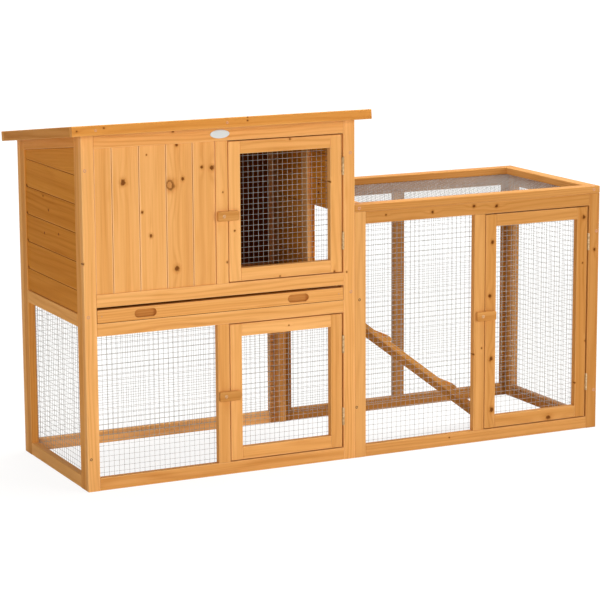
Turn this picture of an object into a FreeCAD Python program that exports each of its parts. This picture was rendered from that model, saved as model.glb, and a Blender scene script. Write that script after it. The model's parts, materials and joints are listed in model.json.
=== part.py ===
import FreeCAD, Part
import math
import os

# Small animal hutch with run: a two-storey timber hutch on the left, joined to a low wire run.
# Lengths are in millimetres and angles in degrees.
# While it is modelled, X runs to the right from the hutch's left face, Y runs back from the
# front face of the frames, and Z runs up from the ground.
# The last step moves every piece so that the origin is the centre of the base.

# Timber of the frames
member_wide = 30.0
member_thick = 18.0

# Hutch walls
hutch_wide = 690.0
hutch_deep = 435.0
front_wall_high = 831.0
front_top_rail_wide = 37.0
side_floor_level = 411.0
roof_fall_angle = 7.2

# Tray and its slot in the front
tray_level = 393.0
tray_slot_high = 37.0
tray_high = 31.0
tray_front_thick = 12.0
tray_front_recess = 1.0
tray_side_clear = 1.5
tray_back_clear = 10.0
tray_wall_thick = 9.0
tray_bottom_thick = 3.0
tray_slot_long = 55.0
tray_slot_wide = 19.0
tray_slot_spacing = 390.0
tray_slot_deep = 7.0
tray_runner_wide = 24.0
tray_runner_thick = 12.0

# Tongued boards that close the upper storey
board_thick = 12.0
board_recess = 3.0
board_pitch = 66.4
board_bevel = 2.5
front_board_first = 44.0
side_board_first = 53.5
back_board_first = 50.0

# Pop hole from the upper storey to the ramp
pop_hole_start = 44.0
pop_hole_wide = 141.0
pop_hole_boards = 3
batten_wide = 30.0
batten_thick = 9.0
divider_sill_wide = 60.0

# Ramp in the run
ramp_wide = 120.0
ramp_inset = 5.0
ramp_thick = 12.5
ramp_top_level = 365.0
ramp_angle = 37.5
ramp_cleat_wide = 20.0
ramp_cleat_high = 9.0
ramp_cleat_first = 158.0
ramp_cleat_spacing = 230.0
ramp_cleat_count = 2

# Run
run_wide = 690.0
run_high = 603.0

# Doors
door_latch_gap = 2.0
door_end_gap = 2.5
hutch_hinge_inset = 75.0
run_hinge_inset = 89.0

# Butt hinges of three knuckles
hinge_tall = 42.0
hinge_leaf_wide = 16.0
hinge_leaf_thick = 1.2
hinge_barrel_radius = 2.25
hinge_pin_radius = 1.0
hinge_pin_clear = 0.3
hinge_pin_head_radius = 1.8
hinge_pin_head_thick = 1.0
hinge_knuckle_gap = 0.3
roof_hinge_inset = 150.0

# Turn buttons and their pivot screws
button_long = 54.0
button_wide = 23.0
button_thick = 8.0
button_corner_radius = 4.0
button_pivot_inset = 16.0
button_gap = 0.3
hutch_button_start = 0.5
run_button_start = 5.0
upper_button_level = 619.0
lower_button_level = 191.0
run_button_level = 319.0
screw_shank_radius = 2.0
screw_hole_clear = 0.3
screw_depth = 14.0
screw_head_radius = 4.2
screw_crown_radius = 3.2
screw_rim_thick = 1.4
screw_head_thick = 2.4

# Roof
roof_front_reach = 28.3
roof_side_reach = 31.0
roof_back_reach = 20.8
roof_trim_thick = 15.0
roof_trim_high = 23.5
roof_trim_drop = 7.0
roof_board_thick = 14.0
roof_board_first = 60.0
roof_felt_thick = 1.5

# Welded wire nets, as one holed sheet each
net_pitch = 63.5
net_wire = 1.6
net_thick = 1.2
net_lap = 11.0

# Flat sides that stand for the curve of hinge barrels, pins and screws
small_round_sides = 12

# Spans that several pieces share, each as a low and a high value
front_y = (0.0, member_thick)
back_y = (hutch_deep - member_thick, hutch_deep)
side_y = (front_y[1], back_y[0])
side_bay_y = (side_y[0] + member_wide, side_y[1] - member_wide)
left_wall_x = (0.0, member_thick)
divider_x = (hutch_wide - member_thick, hutch_wide)
left_post_x = (0.0, member_wide)
right_post_x = (hutch_wide - member_wide, hutch_wide)
hutch_stile_x = ((hutch_wide - member_wide) / 2, (hutch_wide + member_wide) / 2)
left_bay_x = (left_post_x[1], hutch_stile_x[0])
right_bay_x = (hutch_stile_x[1], right_post_x[0])
hutch_bay_x = (left_post_x[1], right_post_x[0])
run_right = hutch_wide + run_wide
run_left_post_x = (hutch_wide, hutch_wide + member_wide)
run_right_post_x = (run_right - member_wide, run_right)
run_stile_x = (hutch_wide + (run_wide - member_wide) / 2, hutch_wide + (run_wide + member_wide) / 2)
run_left_bay_x = (run_left_post_x[1], run_stile_x[0])
run_right_bay_x = (run_stile_x[1], run_right_post_x[0])
run_bay_x = (run_left_post_x[1], run_right_post_x[0])
run_side_x = (run_right - member_thick, run_right)
bottom_rail_z = (0.0, member_wide)
tray_rail_z = (tray_level - member_wide, tray_level)
floor_rail_z = (tray_level + tray_slot_high, tray_level + tray_slot_high + member_wide)
front_top_rail_level = front_wall_high - front_top_rail_wide
side_mid_rail_z = (side_floor_level - member_wide, side_floor_level)
lower_bay_z = (bottom_rail_z[1], tray_rail_z[0])
upper_bay_z = (floor_rail_z[1], front_top_rail_level)
run_top_rail_z = (run_high - member_wide, run_high)
run_bay_z = (bottom_rail_z[1], run_top_rail_z[0])
lid_z = (run_high, run_high + member_thick)
hutch_pivot_x = hutch_stile_x[0] + hutch_button_start + button_pivot_inset
run_pivot_x = run_stile_x[0] + run_button_start + button_pivot_inset

# Directions of the object, and of the roof's slope
to_right = FreeCAD.Vector(1, 0, 0)
to_back = FreeCAD.Vector(0, 1, 0)
upwards = FreeCAD.Vector(0, 0, 1)
roof_fall = math.radians(roof_fall_angle)
roof_down = FreeCAD.Vector(0, math.cos(roof_fall), -math.sin(roof_fall))
roof_up = FreeCAD.Vector(0, math.sin(roof_fall), math.cos(roof_fall))
roof_start = FreeCAD.Vector(0, 0, front_wall_high)
roof_long = roof_front_reach + hutch_deep / math.cos(roof_fall) + roof_back_reach

nodes = {}


def add(name, solids):
    """Keeps one named piece, or a group of like pieces, for the export."""
    nodes[name] = Part.makeCompound(solids)


def block(x_span, y_span, z_span):
    """A squared timber between three pairs of low and high values."""
    corner = FreeCAD.Vector(x_span[0], y_span[0], z_span[0])
    return Part.makeBox(x_span[1] - x_span[0], y_span[1] - y_span[0], z_span[1] - z_span[0], corner)


def prism(outline, travel):
    """A closed flat outline of points, pushed along one vector."""
    wire = Part.makePolygon(outline + [outline[0]])
    return Part.Face(wire).extrude(travel)


def rod(radius, start, travel):
    """A small round bar of a few flat sides, from one point along a vector."""
    axis = FreeCAD.Vector(travel).normalize()
    aside = axis.cross(FreeCAD.Vector(axis.y, axis.z, axis.x))
    across = axis.cross(aside)
    outline = []
    for side in range(small_round_sides):
        turn = 2 * math.pi * side / small_round_sides
        outline.append(start + aside * (radius * math.cos(turn)) + across * (radius * math.sin(turn)))
    return prism(outline, travel)


def wall_top(y):
    """Height of the walls' sloping top, under the roof boards, at a distance from the front."""
    return front_wall_high - y * math.tan(roof_fall)


def upright(x_span, y_span):
    """A post or stile that stands on the ground and is cut to the roof's slope."""
    y0, y1 = y_span
    side = [(y0, 0.0), (y1, 0.0), (y1, wall_top(y1)), (y0, wall_top(y0))]
    outline = [FreeCAD.Vector(x_span[0], y, z) for y, z in side]
    return prism(outline, FreeCAD.Vector(x_span[1] - x_span[0], 0, 0))


def sloping_rail(x_span, y_span):
    """A rail along the top of a side wall, with its edges parallel to the roof."""
    y0, y1 = y_span
    drop = member_wide / math.cos(roof_fall)
    side = [(y0, wall_top(y0) - drop), (y1, wall_top(y1) - drop), (y1, wall_top(y1)), (y0, wall_top(y0))]
    outline = [FreeCAD.Vector(x_span[0], y, z) for y, z in side]
    return prism(outline, FreeCAD.Vector(x_span[1] - x_span[0], 0, 0))


def level_top_rail(x_span, y_span, low):
    """A rail of the front or back wall, level below and cut to the roof's slope above."""
    y0, y1 = y_span
    side = [(y0, low), (y1, low), (y1, wall_top(y1)), (y0, wall_top(y0))]
    outline = [FreeCAD.Vector(x_span[0], y, z) for y, z in side]
    return prism(outline, FreeCAD.Vector(x_span[1] - x_span[0], 0, 0))


def board_spans(span, first):
    """Splits a width into a first board, boards of the common pitch and a last one."""
    edges = [span[0], span[0] + first]
    while edges[-1] + board_pitch < span[1]:
        edges.append(edges[-1] + board_pitch)
    edges.append(span[1])
    return list(zip(edges[:-1], edges[1:]))


def board(origin, across, depth, along, wide, thick, long):
    """A board with its four long edges bevelled, so that two side by side show a V groove."""
    bevel = board_bevel
    ends = [(bevel, 0), (wide - bevel, 0), (wide, bevel), (wide, thick - bevel),
            (wide - bevel, thick), (bevel, thick), (0, thick - bevel), (0, bevel)]
    outline = [origin + across * a + depth * d for a, d in ends]
    return prism(outline, along * long)


def net(corner, across, up, depth, wide, high):
    """One holed sheet of crossing wires, with as many even gaps as the pitch allows."""
    columns = max(1, round(wide / net_pitch))
    rows = max(1, round(high / net_pitch))
    step_across = wide / columns
    step_up = high / rows
    half_wire = net_wire / 2

    def loop(a0, a1, u0, u1):
        corners = [(a0, u0), (a1, u0), (a1, u1), (a0, u1), (a0, u0)]
        return Part.makePolygon([corner + across * a + up * u for a, u in corners])

    wires = [loop(0.0, wide, 0.0, high)]
    for column in range(columns):
        for row in range(rows):
            low_a = column * step_across + half_wire
            low_u = row * step_up + half_wire
            wires.append(loop(low_a, low_a + step_across - net_wire, low_u, low_u + step_up - net_wire))
    return Part.Face(wires, "Part::FaceMakerBullseye").extrude(depth * net_thick)


def wall_net(x_span, z_span, y, outward):
    """A net behind a front or back frame, lapping the members round a bay."""
    corner = FreeCAD.Vector(x_span[0] - net_lap, y, z_span[0] - net_lap)
    wide = x_span[1] - x_span[0] + 2 * net_lap
    high = z_span[1] - z_span[0] + 2 * net_lap
    return net(corner, to_right, upwards, to_back * outward, wide, high)


def side_net(y_span, z_span, x, outward):
    """A net inside a side frame, lapping the members round a bay."""
    corner = FreeCAD.Vector(x, y_span[0] - net_lap, z_span[0] - net_lap)
    wide = y_span[1] - y_span[0] + 2 * net_lap
    high = z_span[1] - z_span[0] + 2 * net_lap
    return net(corner, to_back, upwards, to_right * outward, wide, high)


def placed(shape, origin, x_axis, y_axis):
    """A copy of a shape with its own X and Y axes turned to two given directions."""
    z_axis = x_axis.cross(y_axis)
    turn = FreeCAD.Matrix(x_axis.x, y_axis.x, z_axis.x, origin.x,
                          x_axis.y, y_axis.y, z_axis.y, origin.y,
                          x_axis.z, y_axis.z, z_axis.z, origin.z,
                          0, 0, 0, 1)
    moved = shape.copy()
    moved.Placement = FreeCAD.Placement(turn)
    return moved


def hinge_leaf(side, knuckle_spans):
    """A hinge leaf round a barrel on the Z axis: side is 1 or -1, the face of the gap it lies on."""
    neck_end = hinge_barrel_radius + hinge_knuckle_gap
    outer = side * hinge_barrel_radius
    inner = side * (hinge_barrel_radius - hinge_leaf_thick)
    x_span = (min(outer, inner), max(outer, inner))
    leaf = block(x_span, (neck_end, hinge_leaf_wide), (-hinge_tall / 2, hinge_tall / 2))
    for low, high in knuckle_spans:
        barrel = rod(hinge_barrel_radius, FreeCAD.Vector(0, 0, low), FreeCAD.Vector(0, 0, high - low))
        leaf = leaf.fuse([barrel, block(x_span, (0.0, neck_end), (low, high))])
    bore_radius = hinge_pin_radius + hinge_pin_clear
    bore = rod(bore_radius, FreeCAD.Vector(0, 0, -hinge_tall / 2), FreeCAD.Vector(0, 0, hinge_tall))
    return leaf.cut(bore).removeSplitter()


def hinge_parts():
    """The fixed leaf with the outer knuckles, the moving leaf with the middle one, and the pin."""
    half = hinge_tall / 2
    third = hinge_tall / 6
    fixed = hinge_leaf(1, [(-half, -third), (third, half)])
    moving = hinge_leaf(-1, [(-third + hinge_knuckle_gap, third - hinge_knuckle_gap)])
    pin = rod(hinge_pin_radius, FreeCAD.Vector(0, 0, -half), FreeCAD.Vector(0, 0, hinge_tall))
    head = rod(hinge_pin_head_radius, FreeCAD.Vector(0, 0, half), FreeCAD.Vector(0, 0, hinge_pin_head_thick))
    return fixed, moving, pin.fuse(head).removeSplitter()


def turn_button(pivot_x, level):
    """A wooden turn button with rounded corners and a hole for its pivot screw."""
    left = pivot_x - button_pivot_inset
    x_span = (left, left + button_long)
    z_span = (level - button_wide / 2, level + button_wide / 2)
    plate = block(x_span, (-button_gap - button_thick, -button_gap), z_span)
    corners = [edge for edge in plate.Edges if edge.BoundBox.YLength > button_thick / 2]
    plate = plate.makeFillet(button_corner_radius, corners)
    pivot = FreeCAD.Vector(pivot_x, -button_gap - button_thick, level)
    return plate.cut(rod(screw_shank_radius + screw_hole_clear, pivot, FreeCAD.Vector(0, button_thick, 0)))


def pivot_screw(pivot_x, level):
    """A pan-headed screw through a turn button, with its shank in the stile behind."""
    head_back = -button_thick - 2 * button_gap
    under_head = FreeCAD.Vector(pivot_x, head_back, level)
    shank = rod(screw_shank_radius, under_head, FreeCAD.Vector(0, screw_depth - head_back, 0))
    rim = rod(screw_head_radius, under_head, FreeCAD.Vector(0, -screw_rim_thick, 0))
    crown = rod(screw_crown_radius, under_head, FreeCAD.Vector(0, -screw_head_thick, 0))
    return shank.fuse([rim, crown]).removeSplitter()


def pilot_hole(pivot_x, level):
    """The hole that a pivot screw fills in a stile."""
    start = FreeCAD.Vector(pivot_x, 0, level)
    return rod(screw_shank_radius, start, FreeCAD.Vector(0, screw_depth, 0))


def door(prefix, bay_x, bay_z, hinge_inset, hinge_sets):
    """A framed wire door hung on its right, with the gaps that its hinges and latch need."""
    x_span = (bay_x[0] + door_latch_gap, bay_x[1] - 2 * hinge_barrel_radius)
    z_span = (bay_z[0] + door_end_gap, bay_z[1] - door_end_gap)
    light_x = (x_span[0] + member_wide, x_span[1] - member_wide)
    light_z = (z_span[0] + member_wide, z_span[1] - member_wide)
    add(prefix + "_stiles", [block((x_span[0], light_x[0]), front_y, z_span),
                             block((light_x[1], x_span[1]), front_y, z_span)])
    add(prefix + "_rails", [block(light_x, front_y, (z_span[0], light_z[0])),
                            block(light_x, front_y, (light_z[1], z_span[1]))])
    add(prefix + "_net", [wall_net(light_x, light_z, front_y[1], 1)])
    fixed, moving, pin = hinge_parts()
    axis_x = bay_x[1] - hinge_barrel_radius
    moving_leaves = []
    for level in (z_span[0] + hinge_inset, z_span[1] - hinge_inset):
        origin = FreeCAD.Vector(axis_x, -hinge_barrel_radius, level)
        hinge_sets["fixed"].append(placed(fixed, origin, to_right, to_back))
        hinge_sets["pins"].append(placed(pin, origin, to_right, to_back))
        moving_leaves.append(placed(moving, origin, to_right, to_back))
    add(prefix + "_hinge_leaves", moving_leaves)


def hutch_front():
    """The hutch's front frame, its closed bay above and its wire bay below."""
    add("front_posts", [upright(left_post_x, front_y), upright(right_post_x, front_y)])
    add("front_top_rail", [level_top_rail(hutch_bay_x, front_y, front_top_rail_level)])
    add("front_floor_rail", [block(hutch_bay_x, front_y, floor_rail_z)])
    add("front_tray_rail", [block(hutch_bay_x, front_y, tray_rail_z)])
    add("front_bottom_rail", [block(hutch_bay_x, front_y, bottom_rail_z)])
    upper_hole = pilot_hole(hutch_pivot_x, upper_button_level)
    lower_hole = pilot_hole(hutch_pivot_x, lower_button_level)
    add("front_stiles", [block(hutch_stile_x, front_y, upper_bay_z).cut(upper_hole),
                         block(hutch_stile_x, front_y, lower_bay_z).cut(lower_hole)])
    boards = []
    for low, high in board_spans(left_bay_x, front_board_first):
        origin = FreeCAD.Vector(low, board_recess, upper_bay_z[0])
        tall = upper_bay_z[1] - upper_bay_z[0]
        boards.append(board(origin, to_right, to_back, upwards, high - low, board_thick, tall))
    add("front_boards", boards)
    add("front_net", [wall_net(left_bay_x, lower_bay_z, front_y[1], 1)])


def side_boards(x_start, hole=None):
    """Level boards of a side wall under its sloping rail, with an optional square hole."""
    drop = member_wide / math.cos(roof_fall)
    y0, y1 = side_bay_y
    highest = wall_top(y0) - drop
    side = [(y0, side_floor_level), (y1, side_floor_level), (y1, wall_top(y1) - drop), (y0, highest)]
    wall = prism([FreeCAD.Vector(x_start, y, z) for y, z in side], to_right * board_thick)
    boards = []
    for row, (low, high) in enumerate(board_spans((side_floor_level, highest), side_board_first)):
        pieces = [side_bay_y]
        if hole and row < pop_hole_boards:
            pieces = [(y0, hole[0]), (hole[1], y1)]
        for start, end in pieces:
            origin = FreeCAD.Vector(x_start, start, low)
            whole = board(origin, upwards, to_right, to_back, high - low, board_thick, end - start)
            boards.extend(whole.common(wall).Solids)
    return boards


def hutch_left_side():
    """The left wall: level boards above the floor and a wire bay below it."""
    add("left_side_stiles", [upright(left_wall_x, (side_y[0], side_bay_y[0])),
                             upright(left_wall_x, (side_bay_y[1], side_y[1]))])
    add("left_side_rails", [block(left_wall_x, side_bay_y, bottom_rail_z),
                            block(left_wall_x, side_bay_y, side_mid_rail_z),
                            sloping_rail(left_wall_x, side_bay_y)])
    add("left_side_boards", side_boards(board_recess))
    add("left_side_net", [side_net(side_bay_y, (bottom_rail_z[1], side_mid_rail_z[0]), left_wall_x[1], 1)])


def hutch_divider():
    """The wall between hutch and run: boards round the pop hole above, open below."""
    add("divider_stiles", [upright(divider_x, (side_y[0], side_bay_y[0])),
                           upright(divider_x, (side_bay_y[1], side_y[1]))])
    sill_z = (side_floor_level - divider_sill_wide, side_floor_level)
    add("divider_rails", [block(divider_x, side_bay_y, sill_z), sloping_rail(divider_x, side_bay_y)])
    hole_y = (pop_hole_start + side_y[0], pop_hole_start + side_y[0] + pop_hole_wide)
    add("divider_boards", side_boards(divider_x[0], hole_y))
    battens = []
    for y_span in ((hole_y[0] - batten_wide, hole_y[0]), (hole_y[1], hole_y[1] + batten_wide)):
        top = wall_top(y_span[1]) - member_wide / math.cos(roof_fall)
        battens.append(block((divider_x[0] - batten_thick, divider_x[0]), y_span, (side_floor_level, top)))
    add("divider_battens", battens)
    return hole_y


def hutch_back():
    """The hutch's back: upright boards above the floor and a wire bay below it."""
    add("back_posts", [upright(left_post_x, back_y), upright(right_post_x, back_y)])
    top_low = wall_top(back_y[1]) - member_wide
    add("back_rails", [block(hutch_bay_x, back_y, bottom_rail_z),
                       block(hutch_bay_x, back_y, side_mid_rail_z),
                       level_top_rail(hutch_bay_x, back_y, top_low)])
    boards = []
    for low, high in board_spans(hutch_bay_x, back_board_first):
        origin = FreeCAD.Vector(low, back_y[0] + board_recess, side_floor_level)
        tall = top_low - side_floor_level
        boards.append(board(origin, to_right, to_back, upwards, high - low, board_thick, tall))
    add("back_boards", boards)
    add("back_net", [wall_net(hutch_bay_x, (bottom_rail_z[1], side_mid_rail_z[0]), back_y[0], -1)])


def tray():
    """The slide-out tray that is the upper storey's floor, and the two runners that carry it."""
    runner_y = (side_y[0], side_y[1] - net_thick)
    runner_z = (tray_level - tray_runner_thick, tray_level)
    left_x = left_wall_x[1] + net_thick
    add("tray_runners", [block((left_x, left_x + tray_runner_wide), runner_y, runner_z),
                         block((divider_x[0] - tray_runner_wide, divider_x[0]), runner_y, runner_z)])
    tray_x = (hutch_bay_x[0] + tray_side_clear, hutch_bay_x[1] - tray_side_clear)
    front_back = tray_front_recess + tray_front_thick
    front = block(tray_x, (tray_front_recess, front_back), (tray_level, tray_level + tray_high))
    middle = hutch_wide / 2
    level = tray_level + tray_high / 2
    for centre in (middle - tray_slot_spacing / 2, middle + tray_slot_spacing / 2):
        front = front.cut(finger_slot(centre, level))
    add("tray_front", [front])
    inside_y = (front_back, side_y[1] - tray_back_clear)
    add("tray_bottom", [block(tray_x, inside_y, (tray_level, tray_level + tray_bottom_thick))])
    wall_z = (tray_level + tray_bottom_thick, tray_level + tray_high)
    back_wall_y = (inside_y[1] - tray_wall_thick, inside_y[1])
    side_wall_y = (inside_y[0], back_wall_y[0])
    add("tray_walls", [block((tray_x[0], tray_x[0] + tray_wall_thick), side_wall_y, wall_z),
                       block((tray_x[1] - tray_wall_thick, tray_x[1]), side_wall_y, wall_z),
                       block(tray_x, back_wall_y, wall_z)])


def finger_slot(centre, level):
    """A blind slot with round ends, to cut into the tray's front for the fingers."""
    radius = tray_slot_wide / 2
    reach = tray_slot_long / 2 - radius
    floor = tray_front_recess + tray_slot_deep
    cutter = block((centre - reach, centre + reach), (0.0, floor), (level - radius, level + radius))
    for x in (centre - reach, centre + reach):
        cutter = cutter.fuse(Part.makeCylinder(radius, floor, FreeCAD.Vector(x, 0, level), to_back))
    return cutter


def roof_slab(x_span, down_span, up_span):
    """A piece of the roof, square to its slope: distances down the slope and up from the walls' top."""
    d0, d1 = down_span
    u0, u1 = up_span
    start = roof_start + to_right * x_span[0]
    outline = [start + roof_down * d + roof_up * u for d, u in ((d0, u0), (d1, u0), (d1, u1), (d0, u1))]
    return prism(outline, to_right * (x_span[1] - x_span[0]))


def roof(hinge_sets):
    """The roof that lifts on two hinges at its back: boards, felt and trim on all four sides."""
    outer_x = (-roof_side_reach, hutch_wide + roof_side_reach)
    outer_down = (-roof_front_reach, roof_long - roof_front_reach)
    inner_x = (outer_x[0] + roof_trim_thick, outer_x[1] - roof_trim_thick)
    inner_down = (outer_down[0] + roof_trim_thick, outer_down[1] - roof_trim_thick)
    trim_up = (-roof_trim_drop, roof_trim_high - roof_trim_drop)
    add("roof_trim", [roof_slab(outer_x, (outer_down[0], inner_down[0]), trim_up),
                      roof_slab(outer_x, (inner_down[1], outer_down[1]), trim_up),
                      roof_slab((outer_x[0], inner_x[0]), inner_down, trim_up),
                      roof_slab((inner_x[1], outer_x[1]), inner_down, trim_up)])
    boards = []
    for low, high in board_spans(inner_down, roof_board_first):
        origin = roof_start + FreeCAD.Vector(inner_x[0], 0, 0) + roof_down * low
        long = inner_x[1] - inner_x[0]
        boards.append(board(origin, roof_down, roof_up, to_right, high - low, roof_board_thick, long))
    add("roof_boards", boards)
    felt_up = (roof_board_thick, roof_board_thick + roof_felt_thick)
    add("roof_felt", [roof_slab(inner_x, inner_down, felt_up)])
    fixed, moving, pin = hinge_parts()
    axis_y = hutch_deep + hinge_barrel_radius
    axis_up = -roof_trim_drop - hinge_barrel_radius
    axis_down = (axis_y - axis_up * math.sin(roof_fall)) / math.cos(roof_fall)
    axis = roof_start + roof_down * axis_down + roof_up * axis_up
    moving_leaves = []
    for x in (roof_hinge_inset, hutch_wide - roof_hinge_inset):
        origin = axis + to_right * x
        hinge_sets["fixed"].append(placed(fixed, origin, to_back * -1, upwards * -1))
        hinge_sets["pins"].append(placed(pin, origin, to_back * -1, upwards * -1))
        moving_leaves.append(placed(moving, origin, roof_up * -1, roof_down))
    add("roof_hinge_leaves", moving_leaves)


def run_frames():
    """The run's front, side and back frames with their nets, and the wired lid on top."""
    full_z = (0.0, run_high)
    stile = block(run_stile_x, front_y, run_bay_z).cut(pilot_hole(run_pivot_x, run_button_level))
    add("run_front_uprights", [block(run_left_post_x, front_y, full_z), stile,
                               block(run_right_post_x, front_y, full_z)])
    add("run_front_rails", [block(run_bay_x, front_y, bottom_rail_z),
                            block(run_bay_x, front_y, run_top_rail_z)])
    add("run_front_net", [wall_net(run_left_bay_x, run_bay_z, front_y[1], 1)])
    add("run_side_stiles", [block(run_side_x, (side_y[0], side_bay_y[0]), full_z),
                            block(run_side_x, (side_bay_y[1], side_y[1]), full_z)])
    add("run_side_rails", [block(run_side_x, side_bay_y, bottom_rail_z),
                           block(run_side_x, side_bay_y, run_top_rail_z)])
    add("run_side_net", [side_net(side_bay_y, run_bay_z, run_side_x[0], -1)])
    add("run_back_posts", [block(run_left_post_x, back_y, full_z), block(run_stile_x, back_y, run_bay_z),
                           block(run_right_post_x, back_y, full_z)])
    add("run_back_rails", [block(run_bay_x, back_y, bottom_rail_z), block(run_bay_x, back_y, run_top_rail_z)])
    add("run_back_net", [wall_net(run_bay_x, run_bay_z, back_y[0], -1)])
    run_x = (hutch_wide, run_right)
    lid_bay_y = (member_wide, hutch_deep - member_wide)
    add("run_lid_frame", [block(run_x, (0.0, lid_bay_y[0]), lid_z),
                          block(run_x, (lid_bay_y[1], hutch_deep), lid_z),
                          block(run_left_post_x, lid_bay_y, lid_z),
                          block(run_right_post_x, lid_bay_y, lid_z)])
    corner = FreeCAD.Vector(run_bay_x[0] - net_lap, lid_bay_y[0] - net_lap, run_high)
    wide = run_bay_x[1] - run_bay_x[0] + 2 * net_lap
    deep = lid_bay_y[1] - lid_bay_y[0] + 2 * net_lap
    add("run_lid_net", [net(corner, to_right, to_back, upwards * -1, wide, deep)])


def ramp(hole_y):
    """The ramp from below the pop hole's front edge to the ground, with cleats across it."""
    slope = math.radians(ramp_angle)
    down = FreeCAD.Vector(math.cos(slope), 0, -math.sin(slope))
    up = FreeCAD.Vector(math.sin(slope), 0, math.cos(slope))
    front = hole_y[0] + ramp_inset
    across = FreeCAD.Vector(0, ramp_wide, 0)
    under_level = ramp_top_level - ramp_thick / math.cos(slope)
    reach = ramp_top_level / math.tan(slope)
    under_reach = under_level / math.tan(slope)
    side = [(0.0, ramp_top_level), (0.0, under_level), (under_reach, 0.0), (reach, 0.0)]
    outline = [FreeCAD.Vector(hutch_wide + x, front, z) for x, z in side]
    add("ramp_board", [prism(outline, across)])
    top_edge = FreeCAD.Vector(hutch_wide, front, ramp_top_level)
    cleats = []
    for place in range(ramp_cleat_count):
        start = top_edge + down * (ramp_cleat_first + place * ramp_cleat_spacing - ramp_cleat_wide / 2)
        end = start + down * ramp_cleat_wide
        corners = [start, end, end + up * ramp_cleat_high, start + up * ramp_cleat_high]
        cleats.append(prism(corners, across))
    add("ramp_cleats", cleats)


def turn_buttons():
    """The three turn buttons, each on the fixed stile beside its door, and their screws."""
    screws = []
    for name, pivot_x, level in (("upper_turn_button", hutch_pivot_x, upper_button_level),
                                 ("lower_turn_button", hutch_pivot_x, lower_button_level),
                                 ("run_turn_button", run_pivot_x, run_button_level)):
        add(name, [turn_button(pivot_x, level)])
        screws.append(pivot_screw(pivot_x, level))
    add("button_screws", screws)


hinges = {"fixed": [], "pins": []}
hutch_front()
hutch_left_side()
pop_hole_y = hutch_divider()
hutch_back()
tray()
roof(hinges)
door("upper_door", right_bay_x, upper_bay_z, hutch_hinge_inset, hinges)
door("lower_door", right_bay_x, lower_bay_z, hutch_hinge_inset, hinges)
door("run_door", run_right_bay_x, run_bay_z, run_hinge_inset, hinges)
run_frames()
ramp(pop_hole_y)
turn_buttons()
add("fixed_hinge_leaves", hinges["fixed"])
add("hinge_pins", hinges["pins"])

# The origin is the centre of the base of the whole object's outline
roof_low_corner = roof_start - roof_down * roof_front_reach - roof_up * roof_trim_drop
roof_high_corner = roof_low_corner + roof_down * roof_long + roof_up * roof_trim_high
centre_x = (run_right - roof_side_reach) / 2
centre_y = (roof_low_corner.y + roof_high_corner.y) / 2
to_origin = FreeCAD.Vector(-centre_x, -centre_y, 0)

os.makedirs("parts", exist_ok=True)
for node_name, node_shape in nodes.items():
    node_shape.translate(to_origin)
    node_shape.exportStep(os.path.join("parts", node_name + ".step"))
    print(node_name, len(node_shape.Solids), "valid" if node_shape.isValid() else "NOT VALID")
print("nodes", len(nodes), "origin moved by", to_origin)
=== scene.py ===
"""A small animal hutch with run, dressed for its picture.

Lengths are worked out in millimetres in the hutch's own frame: X runs to the right from the
hutch's left face, Y runs back from the front faces of the frames, and Z runs up from the ground.
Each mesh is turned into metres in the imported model's frame when it is put in the scene.
"""

import json
import logging
import math
from dataclasses import dataclass, field
from enum import Enum
from functools import partial, partialmethod
from typing import Callable, ClassVar, Optional, Sequence, Union

import bpy
import numpy as np
from mathutils import Matrix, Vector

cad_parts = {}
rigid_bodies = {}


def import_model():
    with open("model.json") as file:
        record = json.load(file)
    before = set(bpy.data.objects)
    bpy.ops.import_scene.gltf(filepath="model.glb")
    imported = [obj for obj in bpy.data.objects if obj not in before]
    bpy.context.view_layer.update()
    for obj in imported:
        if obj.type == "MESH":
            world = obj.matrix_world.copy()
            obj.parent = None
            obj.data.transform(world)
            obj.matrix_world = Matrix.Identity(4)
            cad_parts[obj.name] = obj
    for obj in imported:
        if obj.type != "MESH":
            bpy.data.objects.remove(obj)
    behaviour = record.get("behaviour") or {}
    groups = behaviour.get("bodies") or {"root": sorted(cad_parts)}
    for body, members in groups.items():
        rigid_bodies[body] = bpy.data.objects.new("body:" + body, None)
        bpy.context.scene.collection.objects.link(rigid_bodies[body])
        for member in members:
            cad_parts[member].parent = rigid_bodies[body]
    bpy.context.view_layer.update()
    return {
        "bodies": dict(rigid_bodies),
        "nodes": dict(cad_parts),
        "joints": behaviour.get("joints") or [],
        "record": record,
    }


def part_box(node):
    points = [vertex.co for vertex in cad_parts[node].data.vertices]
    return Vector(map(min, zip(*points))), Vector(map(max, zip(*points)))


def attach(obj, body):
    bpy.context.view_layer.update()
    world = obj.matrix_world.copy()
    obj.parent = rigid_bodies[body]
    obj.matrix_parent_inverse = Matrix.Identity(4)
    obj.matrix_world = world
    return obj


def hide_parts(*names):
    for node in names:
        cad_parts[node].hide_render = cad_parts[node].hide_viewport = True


log = logging.getLogger("hutch")
Array = np.ndarray
Point = tuple[float, float, float]
Span = tuple[float, float]
Mover = Callable[[Array], Array]
METRE = 1000.0
YARD_SEED = 11
WHITE = (1.0, 1.0, 1.0, 1.0)


# ---------------------------------------------------------------- sizes


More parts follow.
